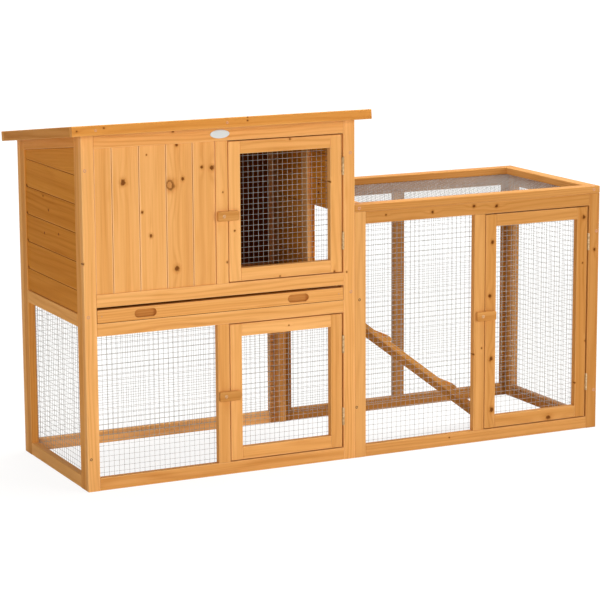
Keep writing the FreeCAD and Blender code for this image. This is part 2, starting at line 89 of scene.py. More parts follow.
@dataclass(frozen=True)
class Sizes:
    """The sizes that several sub-assemblies share, in millimetres and degrees."""

    member_wide: float = 30.0
    member_thick: float = 18.0
    hutch_wide: float = 690.0
    hutch_deep: float = 435.0
    wall_high: float = 831.0
    top_rail_wide: float = 37.0
    run_wide: float = 690.0
    run_high: float = 603.0
    floor_level: float = 411.0
    tray_level: float = 393.0
    tray_gap_high: float = 37.0
    roof_fall_angle: float = 7.2
    board_thick: float = 12.0
    board_recess: float = 3.0
    board_pitch: float = 66.4
    net_lap: float = 11.0
    net_thick: float = 1.2

    @property
    def fall(self) -> float:
        """The roof's slope in radians."""
        return math.radians(self.roof_fall_angle)

    @property
    def front(self) -> Span:
        """Depth of the front frame."""
        return (0.0, self.member_thick)

    @property
    def back(self) -> Span:
        """Depth of the back frame."""
        return (self.hutch_deep - self.member_thick, self.hutch_deep)

    @property
    def side_bay(self) -> Span:
        """Depth of the opening between a side frame's stiles."""
        return (self.member_thick + self.member_wide, self.back[0] - self.member_wide)

    @property
    def run_right(self) -> float:
        """Place of the run's right face."""
        return self.hutch_wide + self.run_wide

    @property
    def rail_drop(self) -> float:
        """Upright height of a rail that follows the slope."""
        return self.member_wide / math.cos(self.fall)

    def wall_top(self, depth: Union[float, Array]) -> Union[float, Array]:
        """Height of the walls' top under the roof, at a distance from the front."""
        return self.wall_high - depth * math.tan(self.fall)


SIZES = Sizes()


class Along(Enum):
    """The direction of a timber's grain or of an axis."""

    X = 0
    Y = 1
    Z = 2


# ---------------------------------------------------------------- forms


@dataclass
class Form:
    """A closed surface in the making.

    Args:
        points: Corners in millimetres, one row each.
        faces: Arrays of corner numbers, one array for each number of corners.
        values: What the finishes read at each corner, by name.
        smooth: For each array of faces, whether light runs smoothly over their edges.
    """

    points: Array
    faces: list[Array]
    values: dict[str, Array] = field(default_factory=dict)
    smooth: Sequence[bool] = ()

    def __post_init__(self) -> None:
        """Takes flat faces where nothing is said."""
        self.smooth = tuple(self.smooth) or (False,) * len(self.faces)

    def outward(self) -> "Form":
        """Turns every face round if the enclosed volume comes out negative.

        The volume is the sum, over each face's fan of triangles, of a sixth of the triple product.
        """
        volume = 0.0
        for group in self.faces:
            corners = self.points[group]
            for step in range(1, group.shape[1] - 1):
                square = np.cross(corners[:, step], corners[:, step + 1])
                volume += float(np.einsum("ij,ij->", corners[:, 0], square))
        if volume < 0:
            self.faces = [group[:, ::-1] for group in self.faces]
        return self

    def placed(self) -> "Form":
        """Gives a form without grain its own points, in metres, to be finished by."""
        self.values = {"grain": self.points / METRE}
        return self


def joined(forms: Sequence[Form]) -> Form:
    """Puts forms with the same values into one, with their corner numbers moved on."""
    faces: dict[tuple[int, bool], list[Array]] = {}
    start = 0
    for form in forms:
        for group, flag in zip(form.faces, form.smooth):
            faces.setdefault((group.shape[1], flag), []).append(group + start)
        start += len(form.points)
    names = forms[0].values
    values = {name: np.concatenate([form.values[name] for form in forms]) for name in names}
    points = np.concatenate([form.points for form in forms])
    groups = [np.concatenate(group) for group in faces.values()]
    return Form(points, groups, values, [flag for _, flag in faces])


def rings(stack: Array, smooth: bool = True, capped: bool = True) -> Form:
    """Joins rings of points into a closed form.

    Args:
        stack: Points in rows of rings, of shape (rings, corners, 3).
        smooth: Whether light runs smoothly over the faces' edges.
        capped: Whether the ends have flat faces; without them the last ring joins the first.

    Returns:
        The form, facing outwards.
    """
    count, corners, _ = stack.shape
    here = np.arange(count * corners).reshape(count, corners)
    beside, above = np.roll(here, -1, axis=1), np.roll(here, -1, axis=0)
    around = [here, beside, np.roll(above, -1, axis=1), above]
    last = count - 1 if capped else count
    faces = [np.stack([grid[:last] for grid in around], axis=-1).reshape(-1, 4)]
    if capped:
        faces.append(np.concatenate([here[:1, ::-1], here[-1:]]))
    return Form(stack.reshape(-1, 3), faces, smooth=(smooth, False)[: len(faces)]).outward()


def repeated(single: Form, stack: Array) -> Form:
    """Copies a form's faces onto several sets of points.

    Args:
        single: The form of the first set.
        stack: All the points, one set in each of its first rows.
    """
    starts = (np.arange(len(stack)) * len(single.points))[:, None, None]
    faces = [(group[None] + starts).reshape(-1, group.shape[1]) for group in single.faces]
    return Form(stack.reshape(-1, 3), faces, smooth=single.smooth)


def circle(sides: int) -> Array:
    """Angles that go once round."""
    return np.linspace(0.0, 2 * math.pi, sides, endpoint=False)


def turned(along: Array, radius: Array, turn: Array, axis: Along) -> Array:
    """Rings about an axis: the radius times the cosine and sine of each turn."""
    stack = np.empty((len(radius), len(turn), 3))
    stack[..., axis.value] = along
    stack[..., (axis.value + 1) % 3] = radius * np.cos(turn)
    stack[..., (axis.value + 2) % 3] = radius * np.sin(turn)
    return stack


def lathe(
    profile: Sequence[Span],
    sides: int,
    axis: Along,
    centre: Point = (0.0, 0.0, 0.0),
    capped: bool = True,
) -> Form:
    """Turns a profile round an axis.

    Args:
        profile: Pairs of distance along the axis and radius.
        sides: Corners round the axis.
        axis: The axis that it is turned about.
        centre: Where the profile's zero lies.
        capped: Whether its ends are closed; without them its last ring joins its first.

    Returns:
        The turned form.
    """
    along, radius = np.array(profile).T[..., None]
    return rings(turned(along, radius, circle(sides), axis) + np.array(centre), capped=capped)


# ---------------------------------------------------------------- timber


@dataclass(frozen=True)
class Knot:
    """A knot on a timber's face: where it is along and across the timber, and its radius."""

    along: float
    across: float
    radius: float


@dataclass(frozen=True)
class Timber:
    """One piece of timber.

    Args:
        low: Its lowest corner before it is shaped.
        high: Its highest corner before it is shaped.
        grain: The direction that its grain runs in.
        edge: Radius of its edges.
        shape: Moves its finished points, such as to the roof's slope.
        knots: Its knots, placed from its low corner.
        tone: How pale it is, from about -2 to 2, where it isn't left to chance; some fixed tones
        also paint light and shade that fall on the timber.
        jointed: Whether it is one of a row of boards, with dark joints between them.
        lift: How much paler it is than the tone that chance gives it; some lifts also paint the
        light and shade that fall on it.
    """

    low: Point
    high: Point
    grain: Along
    edge: float = 1.9
    shape: Optional[Mover] = None
    knots: tuple[Knot, ...] = ()
    tone: Optional[float] = None
    jointed: bool = False
    lift: float = 0.0


def beam(x: Span, y: Span, z: Span, grain: Optional[Along] = None, **more: object) -> Timber:
    """A timber between three pairs of low and high values, with its grain along the longest."""
    low, high = zip(x, y, z)
    grain = grain or Along(int(np.argmax(np.subtract(high, low))))
    return Timber(low, high, grain, **more)


def board_spans(span: Span, first: float) -> list[Span]:
    """Splits a width into a first board, boards of the common pitch and a last one."""
    edges = [span[0], *np.arange(span[0] + first, span[1], SIZES.board_pitch), span[1]]
    return list(zip(edges[:-1], edges[1:]))


class TimberYard:
    """Cuts timbers, and gives each one its own heart, tone and knots.

    Args:
        seed: Start of the yard's own sequence of chance numbers.
    """

    knot_slots: ClassVar[int] = 4
    no_knot: ClassVar[Point] = (-100.0, -100.0, 0.001)
    edge_steps: ClassVar[int] = 2
    jointed_steps: ClassVar[int] = 3
    end_edge: ClassVar[float] = 1.0
    end_bends: ClassVar[Point] = (20.0, 52.0, 90.0)
    log_long: ClassVar[float] = 9000.0
    beside_joint: ClassVar[float] = -0.6
    heart_across: ClassVar[Span] = (0.15, 0.9)
    heart_deep: ClassVar[Span] = (14.0, 75.0)
    tone_spread: ClassVar[float] = 0.8

    def __init__(self, seed: int) -> None:
        """Opens the yard with its own sequence."""
        self.chance = np.random.default_rng(seed)

    def cut(self, timber: Timber) -> Form:
        """Makes one timber with soft edges.

        A corner of the cross-section is the centre of its edge's arc plus, in each direction of
        the quarter turn, the edge's radius less the inset. At the ends the inset and the travel
        follow a quarter circle too, so that the ends are as soft as the long edges.

        Args:
            timber: What to cut.

        Returns:
            A closed form with the values that the pine finish reads: among them 1 in the middle of
            a rounded edge, and -1 on a joint between boards.
        """
        low, size = np.array(timber.low), np.subtract(timber.high, timber.low)
        others = [axis for axis in range(3) if axis != timber.grain.value]
        axes = [timber.grain.value, *sorted(others, key=lambda axis: -size[axis])]
        long, wide, thick = size[axes]
        steps = self.jointed_steps if timber.jointed else self.edge_steps
        quarter = np.linspace(0.0, math.pi / 2, steps + 1)
        turns = (np.arange(4)[:, None] * math.pi / 2 + quarter).ravel()
        direction = np.stack([np.cos(turns), np.sin(turns)], axis=1)
        signs = np.repeat(np.array([[1, 1], [-1, 1], [-1, -1], [1, -1]]), steps + 1, axis=0)
        centre = signs * (np.array([wide, thick]) / 2 - timber.edge)
        end, bend = min(timber.edge, self.end_edge), np.radians(self.end_bends)
        travel, inset = end * (1 - np.cos(bend)), end * (1 - np.sin(bend))
        stations = np.concatenate([travel, long - travel[::-1]])
        insets = np.concatenate([inset, inset[::-1]])
        local = np.empty((len(stations), len(turns), 3))
        local[..., 0] = stations[:, None]
        local[..., 1:] = centre + (timber.edge - insets)[:, None, None] * direction
        points = np.empty_like(local)
        points[..., axes] = low[axes] + np.array([0.0, wide / 2, thick / 2]) + local
        form = rings(points, smooth=False)
        if timber.shape:
            form.points = timber.shape(form.points)
        form.values = self.grain_values(timber, local.reshape(-1, 3), float(wide))
        rows = np.tile(np.sin(2 * quarter), (4, 1))
        if timber.jointed:
            rows[0::2, :2] = [-1.0, self.beside_joint]
            rows[1::2, 2:] = [self.beside_joint, -1.0]
        on_edge = np.tile(rows.ravel(), len(stations))[:, None]
        form.values["edge"] = np.repeat(on_edge, 3, axis=1)
        return form

    def grain_values(self, timber: Timber, local: Array, wide: float) -> dict[str, Array]:
        """Works out what the pine finish reads: the place in the log, its heart and the knots.

        Args:
            timber: The timber that is being cut.
            local: Points along, across and through the timber, from its middle.
            wide: The timber's width.

        Returns:
            Values by name, in metres.
        """
        start = self.chance.uniform(0.0, self.log_long)
        side, share = self.chance.choice([-1, 1]), self.chance.uniform(*self.heart_across)
        heart = (side * share * wide, self.chance.uniform(*self.heart_deep))
        tone = timber.tone
        if tone is None:
            spread = self.chance.normal(0.0, self.tone_spread)
            tone = float(np.clip(spread, -2 * self.tone_spread, 2 * self.tone_spread)) + timber.lift
        rows = {"heart": [heart[0] / METRE, heart[1] / METRE, tone]}
        for number in range(self.knot_slots):
            rows[f"knot_{number}"] = self.no_knot
        for number, knot in enumerate(timber.knots):
            place = (knot.along + start, knot.across - wide / 2, knot.radius)
            rows[f"knot_{number}"] = np.array(place) / METRE
        values = {"grain": (local + np.array([start, 0.0, 0.0])) / METRE}
        return values | {name: np.tile(row, (len(local), 1)) for name, row in rows.items()}


def trimmed_top(low: float, high: float, drop: float = 0.0) -> Mover:
    """Cuts an upright timber's or a board's top to the roof's slope.

    Heights are scaled from the low end, so that the high end lands on the walls' top less the drop.

    Args:
        low: The timber's low end.
        high: Its high end before it is cut.
        drop: How far below the walls' top it ends.

    Returns:
        A function that moves points.
    """

    def move(points: Array) -> Array:
        """Scales the heights of points."""
        moved = points.copy()
        share = (points[:, 2] - low) / (high - low)
        moved[:, 2] = low + share * (SIZES.wall_top(points[:, 1]) - drop - low)
        return moved

    return move


def sloped(points: Array) -> Array:
    """Lowers points by the roof's fall times their distance from the front."""
    moved = points.copy()
    moved[:, 2] -= points[:, 1] * math.tan(SIZES.fall)
    return moved


def down_slope(points: Array, run: Along, angle: float, start: float, top: float) -> Array:
    """Turns points given as down a slope and square to it into the hutch's frame.

    Args:
        points: Points with the distance down the slope in one level axis, and square to it in Z.
        run: That level axis.
        angle: The slope in radians.
        start: Where the slope starts on the level axis.
        top: Its height there.

    Returns:
        The moved points.
    """
    down, up = points[:, run.value], points[:, 2]
    sine, cosine = math.sin(angle), math.cos(angle)
    moved = points.copy()
    moved[:, run.value] = start + down * cosine + up * sine
    moved[:, 2] = top - down * sine + up * cosine
    return moved


on_roof = partial(down_slope, run=Along.Y, angle=SIZES.fall, start=0.0, top=SIZES.wall_high)


# ---------------------------------------------------------------- wire nets


@dataclass(frozen=True)
class WireNet:
    """A panel of welded wire that laps the members round a bay.

    Args:
        axes: The axes that its weft, its warp and its thickness lie along.
        across: The bay along the weft.
        up: The bay along the warp.
        level: Where the face on the members lies.
        way: 1 or -1, the side of that face that its thickness is on.
    """

    axes: tuple[Along, Along, Along]
    across: Span
    up: Span
    level: float
    way: float
    pitch: float = 12.7
    wire: float = 0.78
    sides: int = 6
    wander: float = 0.1
    wander_long: float = 47.0
    station: float = 60.0
    weld: float = 0.5
    weld_flat: float = 0.8

    def form(self, chance: np.random.Generator) -> Form:
        """Makes the warp, the weft and their welds.

        A wire's point is its own line plus the wander times a slow sine along it, plus its radius
        times the cosine and sine of the turn round it. A weld is a small eight-sided bead.

        Args:
            chance: The sequence that sets how each wire wanders.

        Returns:
            All the wires and welds as one form.
        """
        lap, thick = SIZES.net_lap, SIZES.net_thick
        corner = np.zeros(3)
        weft, warp, away = (axis.value for axis in self.axes)
        corner[[weft, warp, away]] = self.across[0] - lap, self.up[0] - lap, self.level
        wide, high = (bay[1] - bay[0] + 2 * lap for bay in (self.across, self.up))
        warp_at, weft_at = self._places(wide), self._places(high)
        radius = self.wire / 2
        forms = [
            self._wires(warp_at, high, (warp, weft, away), radius, corner, chance),
            self._wires(weft_at, wide, (weft, warp, away), thick - radius, corner, chance),
            self._welds(warp_at, weft_at, (weft, warp, away), thick / 2, corner),
        ]
        return joined([form.placed() for form in forms])

    def _places(self, long: float) -> Array:
        """Where the wires lie on a length, as many as it holds."""
        count = int(long // self.pitch)
        return (long - count * self.pitch) / 2 + np.arange(count + 1) * self.pitch

    def _wires(
        self,
        places: Array,
        long: float,
        axes: tuple[int, int, int],
        depth: float,
        corner: Array,
        chance: np.random.Generator,
    ) -> Form:
        """Makes the wires of one direction, as whole arrays; the axes are run, step and away."""
        run, step, away = axes
        stations = np.linspace(0.0, long, max(4, int(long // self.station)))
        phase = chance.uniform(0.0, 2 * math.pi, (len(places), 1))
        strength = self.wander * chance.uniform(0, 1, (len(places), 1))
        sway = strength * np.sin(stations[None, :] / self.wander_long + phase)
        turn, radius = circle(self.sides), self.wire / 2
        stack = np.empty((len(places), len(stations), self.sides, 3))
        stack[..., run] = stations[None, :, None]
        stack[..., step] = (places[:, None] + sway)[..., None] + radius * np.cos(turn)
        stack[..., away] = self.way * (depth + radius * np.sin(turn))
        stack += corner
        return repeated(rings(stack[0]), stack)

    def _welds(
        self,
        warp_at: Array,
        weft_at: Array,
        axes: tuple[int, int, int],
        depth: float,
        corner: Array,
    ) -> Form:
        """Makes a bead at every crossing: six points, one each way along the three axes."""
        weft, warp, away = axes
        bead = np.concatenate([np.eye(3), -np.eye(3)]) * self.weld
        bead[:, away] *= self.weld_flat
        around = [0, 1, 3, 4]
        edges = list(zip(around, around[1:] + around[:1]))
        faces = np.array([(a, b, 2) for a, b in edges] + [(b, a, 5) for a, b in edges])
        place = np.zeros((len(warp_at), len(weft_at), 3))
        place[..., weft] = warp_at[:, None]
        place[..., warp] = weft_at[None, :]
        place[..., away] = self.way * depth
        stack = place.reshape(-1, 1, 3) + corner + bead
        return repeated(Form(bead, [faces], smooth=(True,)).outward(), stack)


IN_FRONT_OR_BACK = (Along.X, Along.Z, Along.Y)
IN_A_SIDE = (Along.Y, Along.Z, Along.X)
IN_THE_LID = (Along.X, Along.Y, Along.Z)


# ---------------------------------------------------------------- shader maths


class Reading:
    """A number's or colour's socket on a board of nodes, for use in arithmetic."""

    def __init__(self, board: "Board", socket: bpy.types.NodeSocket) -> None:
        """Wraps a socket."""
        self.board = board
        self.socket = socket

    def math(self, operation: str, *others: Union["Reading", float]) -> "Reading":
        """A Math node with this reading first."""
        return self.board.math(operation, self, *others)

    __add__ = partialmethod(math, "ADD")
    __sub__ = partialmethod(math, "SUBTRACT")
    __mul__ = partialmethod(math, "MULTIPLY")
    __truediv__ = partialmethod(math, "DIVIDE")
    __pow__ = partialmethod(math, "POWER")
    sine = partialmethod(math, "SINE")
    root = partialmethod(math, "SQRT")
    highest = partialmethod(math, "MAXIMUM")

    def __rsub__(self, other: float) -> "Reading":
        """Difference with a plain number first."""
        return self.board.math("SUBTRACT", other, self)

    def length_with(self, other: "Reading") -> "Reading":
        """Length of two numbers that are square to each other."""
        return (self * self + other * other).root()

    def eased(self, start: float, end: float) -> "Reading":
        """Rises smoothly from 0 at the start value to 1 at the end value."""
        sockets = {"Value": self, "From Min": start, "From Max": end, "To Min": 0.0, "To Max": 1.0}
        settings = {"interpolation_type": "SMOOTHSTEP"}
        return self.board.node("ShaderNodeMapRange", settings, sockets, "Result")


Input = Union[Reading, float, tuple]


class Board:
    """A material's or a world's board of nodes.

    Args:
        owner: What the board belongs to.
        last: The kind of its last node.
    """

    def __init__(self, owner: bpy.types.ID, last: str) -> None:
        """Clears the board and puts its last node on it."""
        owner.use_nodes = True
        self.tree = owner.node_tree
        self.tree.nodes.clear()
        self.surface = self.tree.nodes.new(last).inputs["Surface"]

    def node(
        self, kind: str, settings: dict, sockets: dict, output: Union[str, int] = 0
    ) -> Reading:
        """Adds any node.

        Args:
            kind: The node's type.
            settings: What is set on the node first.
            sockets: Values or readings for its input sockets.
            output: The output socket that is read.

        Returns:
            A reading of that output.
        """
        made = self.tree.nodes.new(kind)
        for key, value in settings.items():
            setattr(made, key, value)
        for key, value in sockets.items():
            self.plug(made.inputs[key], value)
        return Reading(self, made.outputs[output])

    def plug(self, socket: bpy.types.NodeSocket, value: Input) -> None:
        """Links a reading to a socket, or sets a plain value on it."""
        if isinstance(value, Reading):
            self.tree.links.new(value.socket, socket)
        else:
            socket.default_value = value

    def math(self, operation: str, *values: Input) -> Reading:
        """A Math node on numbers."""
        return self.node("ShaderNodeMath", {"operation": operation}, dict(enumerate(values)))

    def split(self, vector: Reading) -> list[Reading]:
        """The three numbers of a vector."""
        first = self.node("ShaderNodeSeparateXYZ", {}, {0: vector})
        return [Reading(self, output) for output in first.socket.node.outputs]

    def combine(self, *parts: Input) -> Reading:
        """A vector of three numbers."""
        return self.node("ShaderNodeCombineXYZ", {}, dict(enumerate(parts)))

    def value(self, name: str) -> Reading:
        """A value that the mesh carries at its corners."""
        return self.node("ShaderNodeAttribute", {"attribute_name": name}, {}, "Vector")

    def place(self) -> Reading:
        """The point on the object, in metres."""
        return self.node("ShaderNodeTexCoord", {}, {}, "Object")

    def noise(
        self, vector: Reading, scale: Union[float, Point], detail: float = 2.0, rough: float = 0.5
    ) -> Reading:
        """Cloudy noise between 0 and 1, scaled alike or by a number along each axis."""
        if isinstance(scale, tuple):
            settings = {"operation": "MULTIPLY"}
            vector = self.node("ShaderNodeVectorMath", settings, {0: vector, 1: scale})
            scale = 1.0
        sockets = {"Vector": vector, "Scale": scale, "Detail": detail, "Roughness": rough}
        return self.node("ShaderNodeTexNoise", {}, sockets)

    def mixed(self, share: Input, first: Input, second: Input, blend: str = "MIX") -> Reading:
        """Mixes two colours by a share of the second."""
        settings = {"data_type": "RGBA", "blend_type": blend}
        return self.node("ShaderNodeMix", settings, {0: share, 6: first, 7: second}, 2)

    def filtered(self, share: Input, base: Input, filter_by: Point) -> Reading:
        """Multiplies a colour by a filter's three parts, as far as the share goes."""
        return self.mixed(share, base, (*filter_by, 1.0), "MULTIPLY")

    def seen(self) -> Reading:
        """1 for rays from the camera, from a gloss or through glass, and 0 for all others."""
        names = ("Camera", "Glossy", "Transmission")
        camera, glossy, through = (
            self.node("ShaderNodeLightPath", {}, {}, f"Is {name} Ray") for name in names
        )
        return camera.highest(glossy).highest(through)

    def shown_as(self, share: Reading, first: Reading, second: Reading) -> None:
        """Ends the board with two shaders, mixed by a share of the second."""
        mix = self.node("ShaderNodeMixShader", {}, {0: share, 1: first, 2: second})
        self.plug(self.surface, mix)


class MaterialBoard(Board):
    """A new material's board, with its main shader.

    Args:
        name: The material's name.
    """

    def __init__(self, name: str) -> None:
        """Starts the material."""
        self.material = bpy.data.materials.new(name)
        super().__init__(self.material, "ShaderNodeOutputMaterial")
        self.shader = self.node("ShaderNodeBsdfPrincipled", {}, {})
        self.plug(self.surface, self.shader)

    def bump(self, height: Input, strength: float, distance: float) -> None:
        """Raises the surface by a height field."""
        sockets = {"Strength": strength, "Distance": distance, "Height": height}
        self.set(Normal=self.node("ShaderNodeBump", {}, sockets))

    def set(self, **values: Input) -> None:
        """Sets the main shader's sockets, with underscores for spaces in their names."""
        for key, value in values.items():
            self.plug(self.shader.socket.node.inputs[key.replace("_", " ")], value)


def colour(code: str) -> tuple[float, ...]:
    """Turns a six-figure screen colour into the light it stands for, with full opacity.

    Each part is divided by 255 and goes through the screen's curve: (part + 0.055) / 1.055 to the
    power 2.4, or part / 12.92 near black.
    """
    parts = [int(code[place : place + 2], 16) / 255 for place in (0, 2, 4)]
    light = [((part + 0.055) / 1.055) ** 2.4 if part > 0.04045 else part / 12.92 for part in parts]
    return (*light, 1.0)


# ---------------------------------------------------------------- finishes


@dataclass(frozen=True)
class Pine:
    """Varnished pine with growth rings, fibres and knots.

    Streaks, rings and knots lie over the wood as filters, so that darker wood is deeper in colour.

    Args:
        name: The finish's name.
        wood: Colour of the wood between its marks.
        worn: Colour of the edges, partly real wear and partly a painted highlight where light
            catches
        their rounding.
        ring: Spacing of the growth rings, in metres.
        ring_strength: How strong the rings are.
        tone_spread: How much one timber is lighter or darker than the next.
        sheen: How strongly the varnish mirrors its surroundings.
        inner_dark: Painted shade: how much darker the face towards the front is, on
        boards that line a room, standing in for the shade inside that room.
        rubbed: How far the edges take the worn colour, as wear and as a painted highlight.
        carved: For a panel that has no grain of its own: where its cut faces start and end from
        front to back, and the height of its foot, in metres; painted shade goes on those faces
        and along that foot.
    """

    name: str
    wood: str = "efb472"
    worn: str = "ffcf8e"
    ring: float = 0.0052
    ring_strength: float = 0.45
    tone_spread: float = 0.06
    sheen: float = 0.025
    inner_dark: float = 0.0
    rubbed: float = 0.6
    carved: Optional[Point] = None
    streak: ClassVar[Point] = (0.86, 0.77, 0.6)
    late: ClassVar[Point] = (0.72, 0.56, 0.36)
    knot: ClassVar[Point] = (0.2, 0.1, 0.035)
    joint: ClassVar[Point] = (0.5, 0.34, 0.17)
    sway: ClassVar[float] = 0.026
    sway_scale: ClassVar[Point] = (1.6, 7.0, 7.0)
    presence_scale: ClassVar[Point] = (1.1, 22.0, 22.0)
    presence_band: ClassVar[Span] = (0.3, 0.72)
    presence_share: ClassVar[float] = 0.75
    fibre_scale: ClassVar[Point] = (7.0, 420.0, 420.0)
    streak_scale: ClassVar[Point] = (0.9, 60.0, 60.0)
    streak_band: ClassVar[Span] = (0.28, 0.75)
    cloud_scale: ClassVar[Point] = (5.0, 24.0, 24.0)
    cloud_band: ClassVar[Span] = (0.5, 0.8)
    joint_band: ClassVar[Span] = (0.1, 0.9)
    streak_depth: ClassVar[float] = 0.85
    fibre_depth: ClassVar[float] = 1.6
    halo_depth: ClassVar[float] = 0.6
    slot_shade_depth: ClassVar[float] = 0.62
    ring_sharpness: ClassVar[float] = 2.4
    tone_on_colours: ClassVar[Point] = (1.0, 1.35, 2.0)
    roughness: ClassVar[float] = 0.36
    bump_strength: ClassVar[float] = 0.22
    bump_high: ClassVar[float] = 0.0006
    knot_long: ClassVar[float] = 1.15
    knot_face: ClassVar[float] = 0.006
    knot_narrowing: ClassVar[float] = 120.0
    knot_ragged: ClassVar[float] = 1.5
    knot_spread: ClassVar[float] = 40.0
    knot_dark: ClassVar[float] = 0.86
    push_reach: ClassVar[float] = 3.4
    push_share: ClassVar[float] = 0.9
    push_long: ClassVar[float] = 0.4
    core_band: ClassVar[Span] = (0.6, 1.2)
    halo_band: ClassVar[Span] = (0.7, 2.4)
    hollow_band: ClassVar[Span] = (0.4, 0.75)
    hollow_pale: ClassVar[float] = 0.7
    wide_knot: ClassVar[Span] = (0.0068, 0.0082)
    painted_inner_shade_reach: ClassVar[float] = 0.004
    cut_soft: ClassVar[float] = 0.0008
    foot_shadow_line: ClassVar[Span] = (0.0007, 0.0016)

    def material(self) -> bpy.types.Material:
        """Builds the finish.

        The rings are the distance from the tree's heart, bent by a slow noise along the grain and
        pushed outwards round each knot; a sine of that distance over the ring spacing, to a power,
        leaves narrow dark lines. Fibres are a noise stretched along the grain.
        """
        board = MaterialBoard(self.name)
        grain = board.place() if self.carved else board.value("grain")
        place = board.split(grain)
        _, across, through = place
        heart_across, heart_through, tone = board.split(board.value("heart"))
        push: Input = 0.0
        core: Input = 0.0
        halo: Input = 0.0
        for number in range(0 if self.carved else TimberYard.knot_slots):
            own_push, own_core, own_halo = self._knot(board, place, number)
            push, core, halo = own_push + push, own_core.highest(core), own_halo.highest(halo)
        sway = board.noise(grain, self.sway_scale) - 0.5
        distance = (across - heart_across).length_with(through - heart_through)
        distance = distance + sway * self.sway + push
        lines = ((distance * (2 * math.pi / self.ring)).sine() * 0.5 + 0.5) ** self.ring_sharpness
        presence = board.noise(grain, self.presence_scale).eased(*self.presence_band)
        fibre = board.noise(grain, self.fibre_scale, 3.0, 0.6)
        streak = board.noise(grain, self.streak_scale).eased(*self.streak_band)
        cloud = board.noise(grain, self.cloud_scale).eased(*self.cloud_band)
        wood = colour(self.wood)
        wood = board.filtered(streak.highest(cloud) * self.streak_depth, wood, self.streak)
        strength = presence * self.presence_share + (1.0 - self.presence_share)
        strength = strength * self.ring_strength
        wood = board.filtered(lines * strength, wood, self.late)
        wood = board.filtered((fibre - 0.5).highest(0.0) * self.fibre_depth, wood, self.late)
        # A carved panel gets painted shade in its finger slots and a painted shadow line along its
        # foot.
        if self.carved:
            wood = self._painted_slot_shade(board, place, wood)
        else:
            # Wear and painted highlight: the rounded edges, and timbers of high tone, are mixed
            # towards the paler worn colour.
            edge = board.value("edge")
            pale = (edge.highest(0.0) * self.rubbed).highest(tone.eased(0.0, 3.0) * 0.5)
            wood = board.mixed(pale, wood, colour(self.worn))
            wood = board.filtered(halo * self.halo_depth, wood, self.late)
            wood = board.filtered(core, wood, self.knot)
            wood = board.filtered((edge * -1.0).eased(*self.joint_band), wood, self.joint)
        # Painted shade: the face towards the front of a room's boards is darkened towards the
        # knots' colour, for the shade inside the room.
        if self.inner_dark:
            inner = (through * -1.0).eased(0.0, self.painted_inner_shade_reach) * self.inner_dark
            wood = board.filtered(inner, wood, self.knot)
        shades = [tone * (self.tone_spread * share) + 1.0 for share in self.tone_on_colours]
        wood = board.mixed(1.0, wood, board.combine(*shades), "MULTIPLY")
        board.set(Base_Color=wood, Roughness=fibre * 0.16 + lines * 0.05 + self.roughness)
        board.set(Specular_IOR_Level=self.sheen)
        board.bump(fibre * 0.5 + lines * 0.25 - core * 0.6, self.bump_strength, self.bump_high)
        return board.material

    def _knot(
        self, board: Board, place: list[Reading], number: int
    ) -> tuple[Reading, Reading, Reading]:
        """One knot's push on the rings, its dark mark and the darker wood round it.

        The mark is a ragged disc: the distance from its middle, in radii, is bent by a noise that
        is scaled with the knot. Wide knots are paler inside, so that they show as rings, and every
        knot narrows from the timber's front to its back.
        """
        along, across, through = place
        knot_along, knot_across, radius = board.split(board.value(f"knot_{number}"))
        off_along = (along - knot_along) / (radius * self.knot_long)
        off_across = (across - knot_across) / radius
        narrowing = (through + self.knot_face).highest(0.0) * self.knot_narrowing + 1.0
        off = off_along.length_with(off_across) * narrowing
        own = knot_along * self.knot_spread
        shape = board.noise(board.combine(off_along, off_across, own), 0.8, 3.0, 0.6)
        ragged = off + (shape - 0.5) * self.knot_ragged
        bent = (off_along * self.push_long).length_with(off_across)
        push = (1.0 - bent.eased(0.0, self.push_reach)) * radius * self.push_share
        hollow = radius.eased(*self.wide_knot) * (1.0 - ragged.eased(*self.hollow_band))
        dark = self.knot_dark - hollow * self.hollow_pale
        core = (1.0 - ragged.eased(*self.core_band)) * dark
        return push, core, 1.0 - ragged.eased(*self.halo_band)

    def _painted_slot_shade(self, board: Board, place: list[Reading], wood: Reading) -> Reading:
        """Paints shade on a panel's cut faces, the walls of its finger slots, and paints a thin
        shadow line along its foot, where it meets the rail under it.
        """
        _, back, up = place
        start, end, foot = self.carved
        past_end = back.eased(end, end + self.cut_soft)
        cut = back.eased(start, start + self.cut_soft) * (1.0 - past_end)
        wood = board.filtered(cut * self.slot_shade_depth, wood, self.joint)
        above_foot = up.eased(foot + self.foot_shadow_line[0], foot + self.foot_shadow_line[1])
        return board.filtered(1.0 - above_foot, wood, self.knot)


@dataclass(frozen=True)
class Zinc:
    """Zinc-plated steel.

    Args:
        name: The finish's name.
        bright: Colour of the brighter patches.
        dull: Colour of the duller patches.
        metal: How metallic it is.
        rough: Its least roughness.
        patch: How many patches there are in a metre.
    """

    name: str
    bright: str
    dull: str
    metal: float
    rough: float = 0.45
    patch: float = 500.0
    scratch_scale: ClassVar[Point] = (900.0, 120.0, 900.0)
    patch_band: ClassVar[Span] = (0.35, 0.7)
    patch_rough: ClassVar[float] = 0.22
    scratch_rough: ClassVar[float] = 0.1
    bump_strength: ClassVar[float] = 0.12
    bump_high: ClassVar[float] = 0.0002

    def material(self) -> bpy.types.Material:
        """Builds the finish: patches of two greys with fine scratches."""
        board = MaterialBoard(self.name)
        patches = board.noise(board.place(), self.patch, 3.0, 0.6)
        scratches = board.noise(board.place(), self.scratch_scale)
        share = patches.eased(*self.patch_band)
        shade = board.mixed(share, colour(self.bright), colour(self.dull))
        board.set(Base_Color=shade, Metallic=self.metal)
        uneven = patches * self.patch_rough + scratches * self.scratch_rough
        board.set(Roughness=uneven + self.rough)
        board.bump(scratches * 0.5 + patches * 0.5, self.bump_strength, self.bump_high)
        return board.material


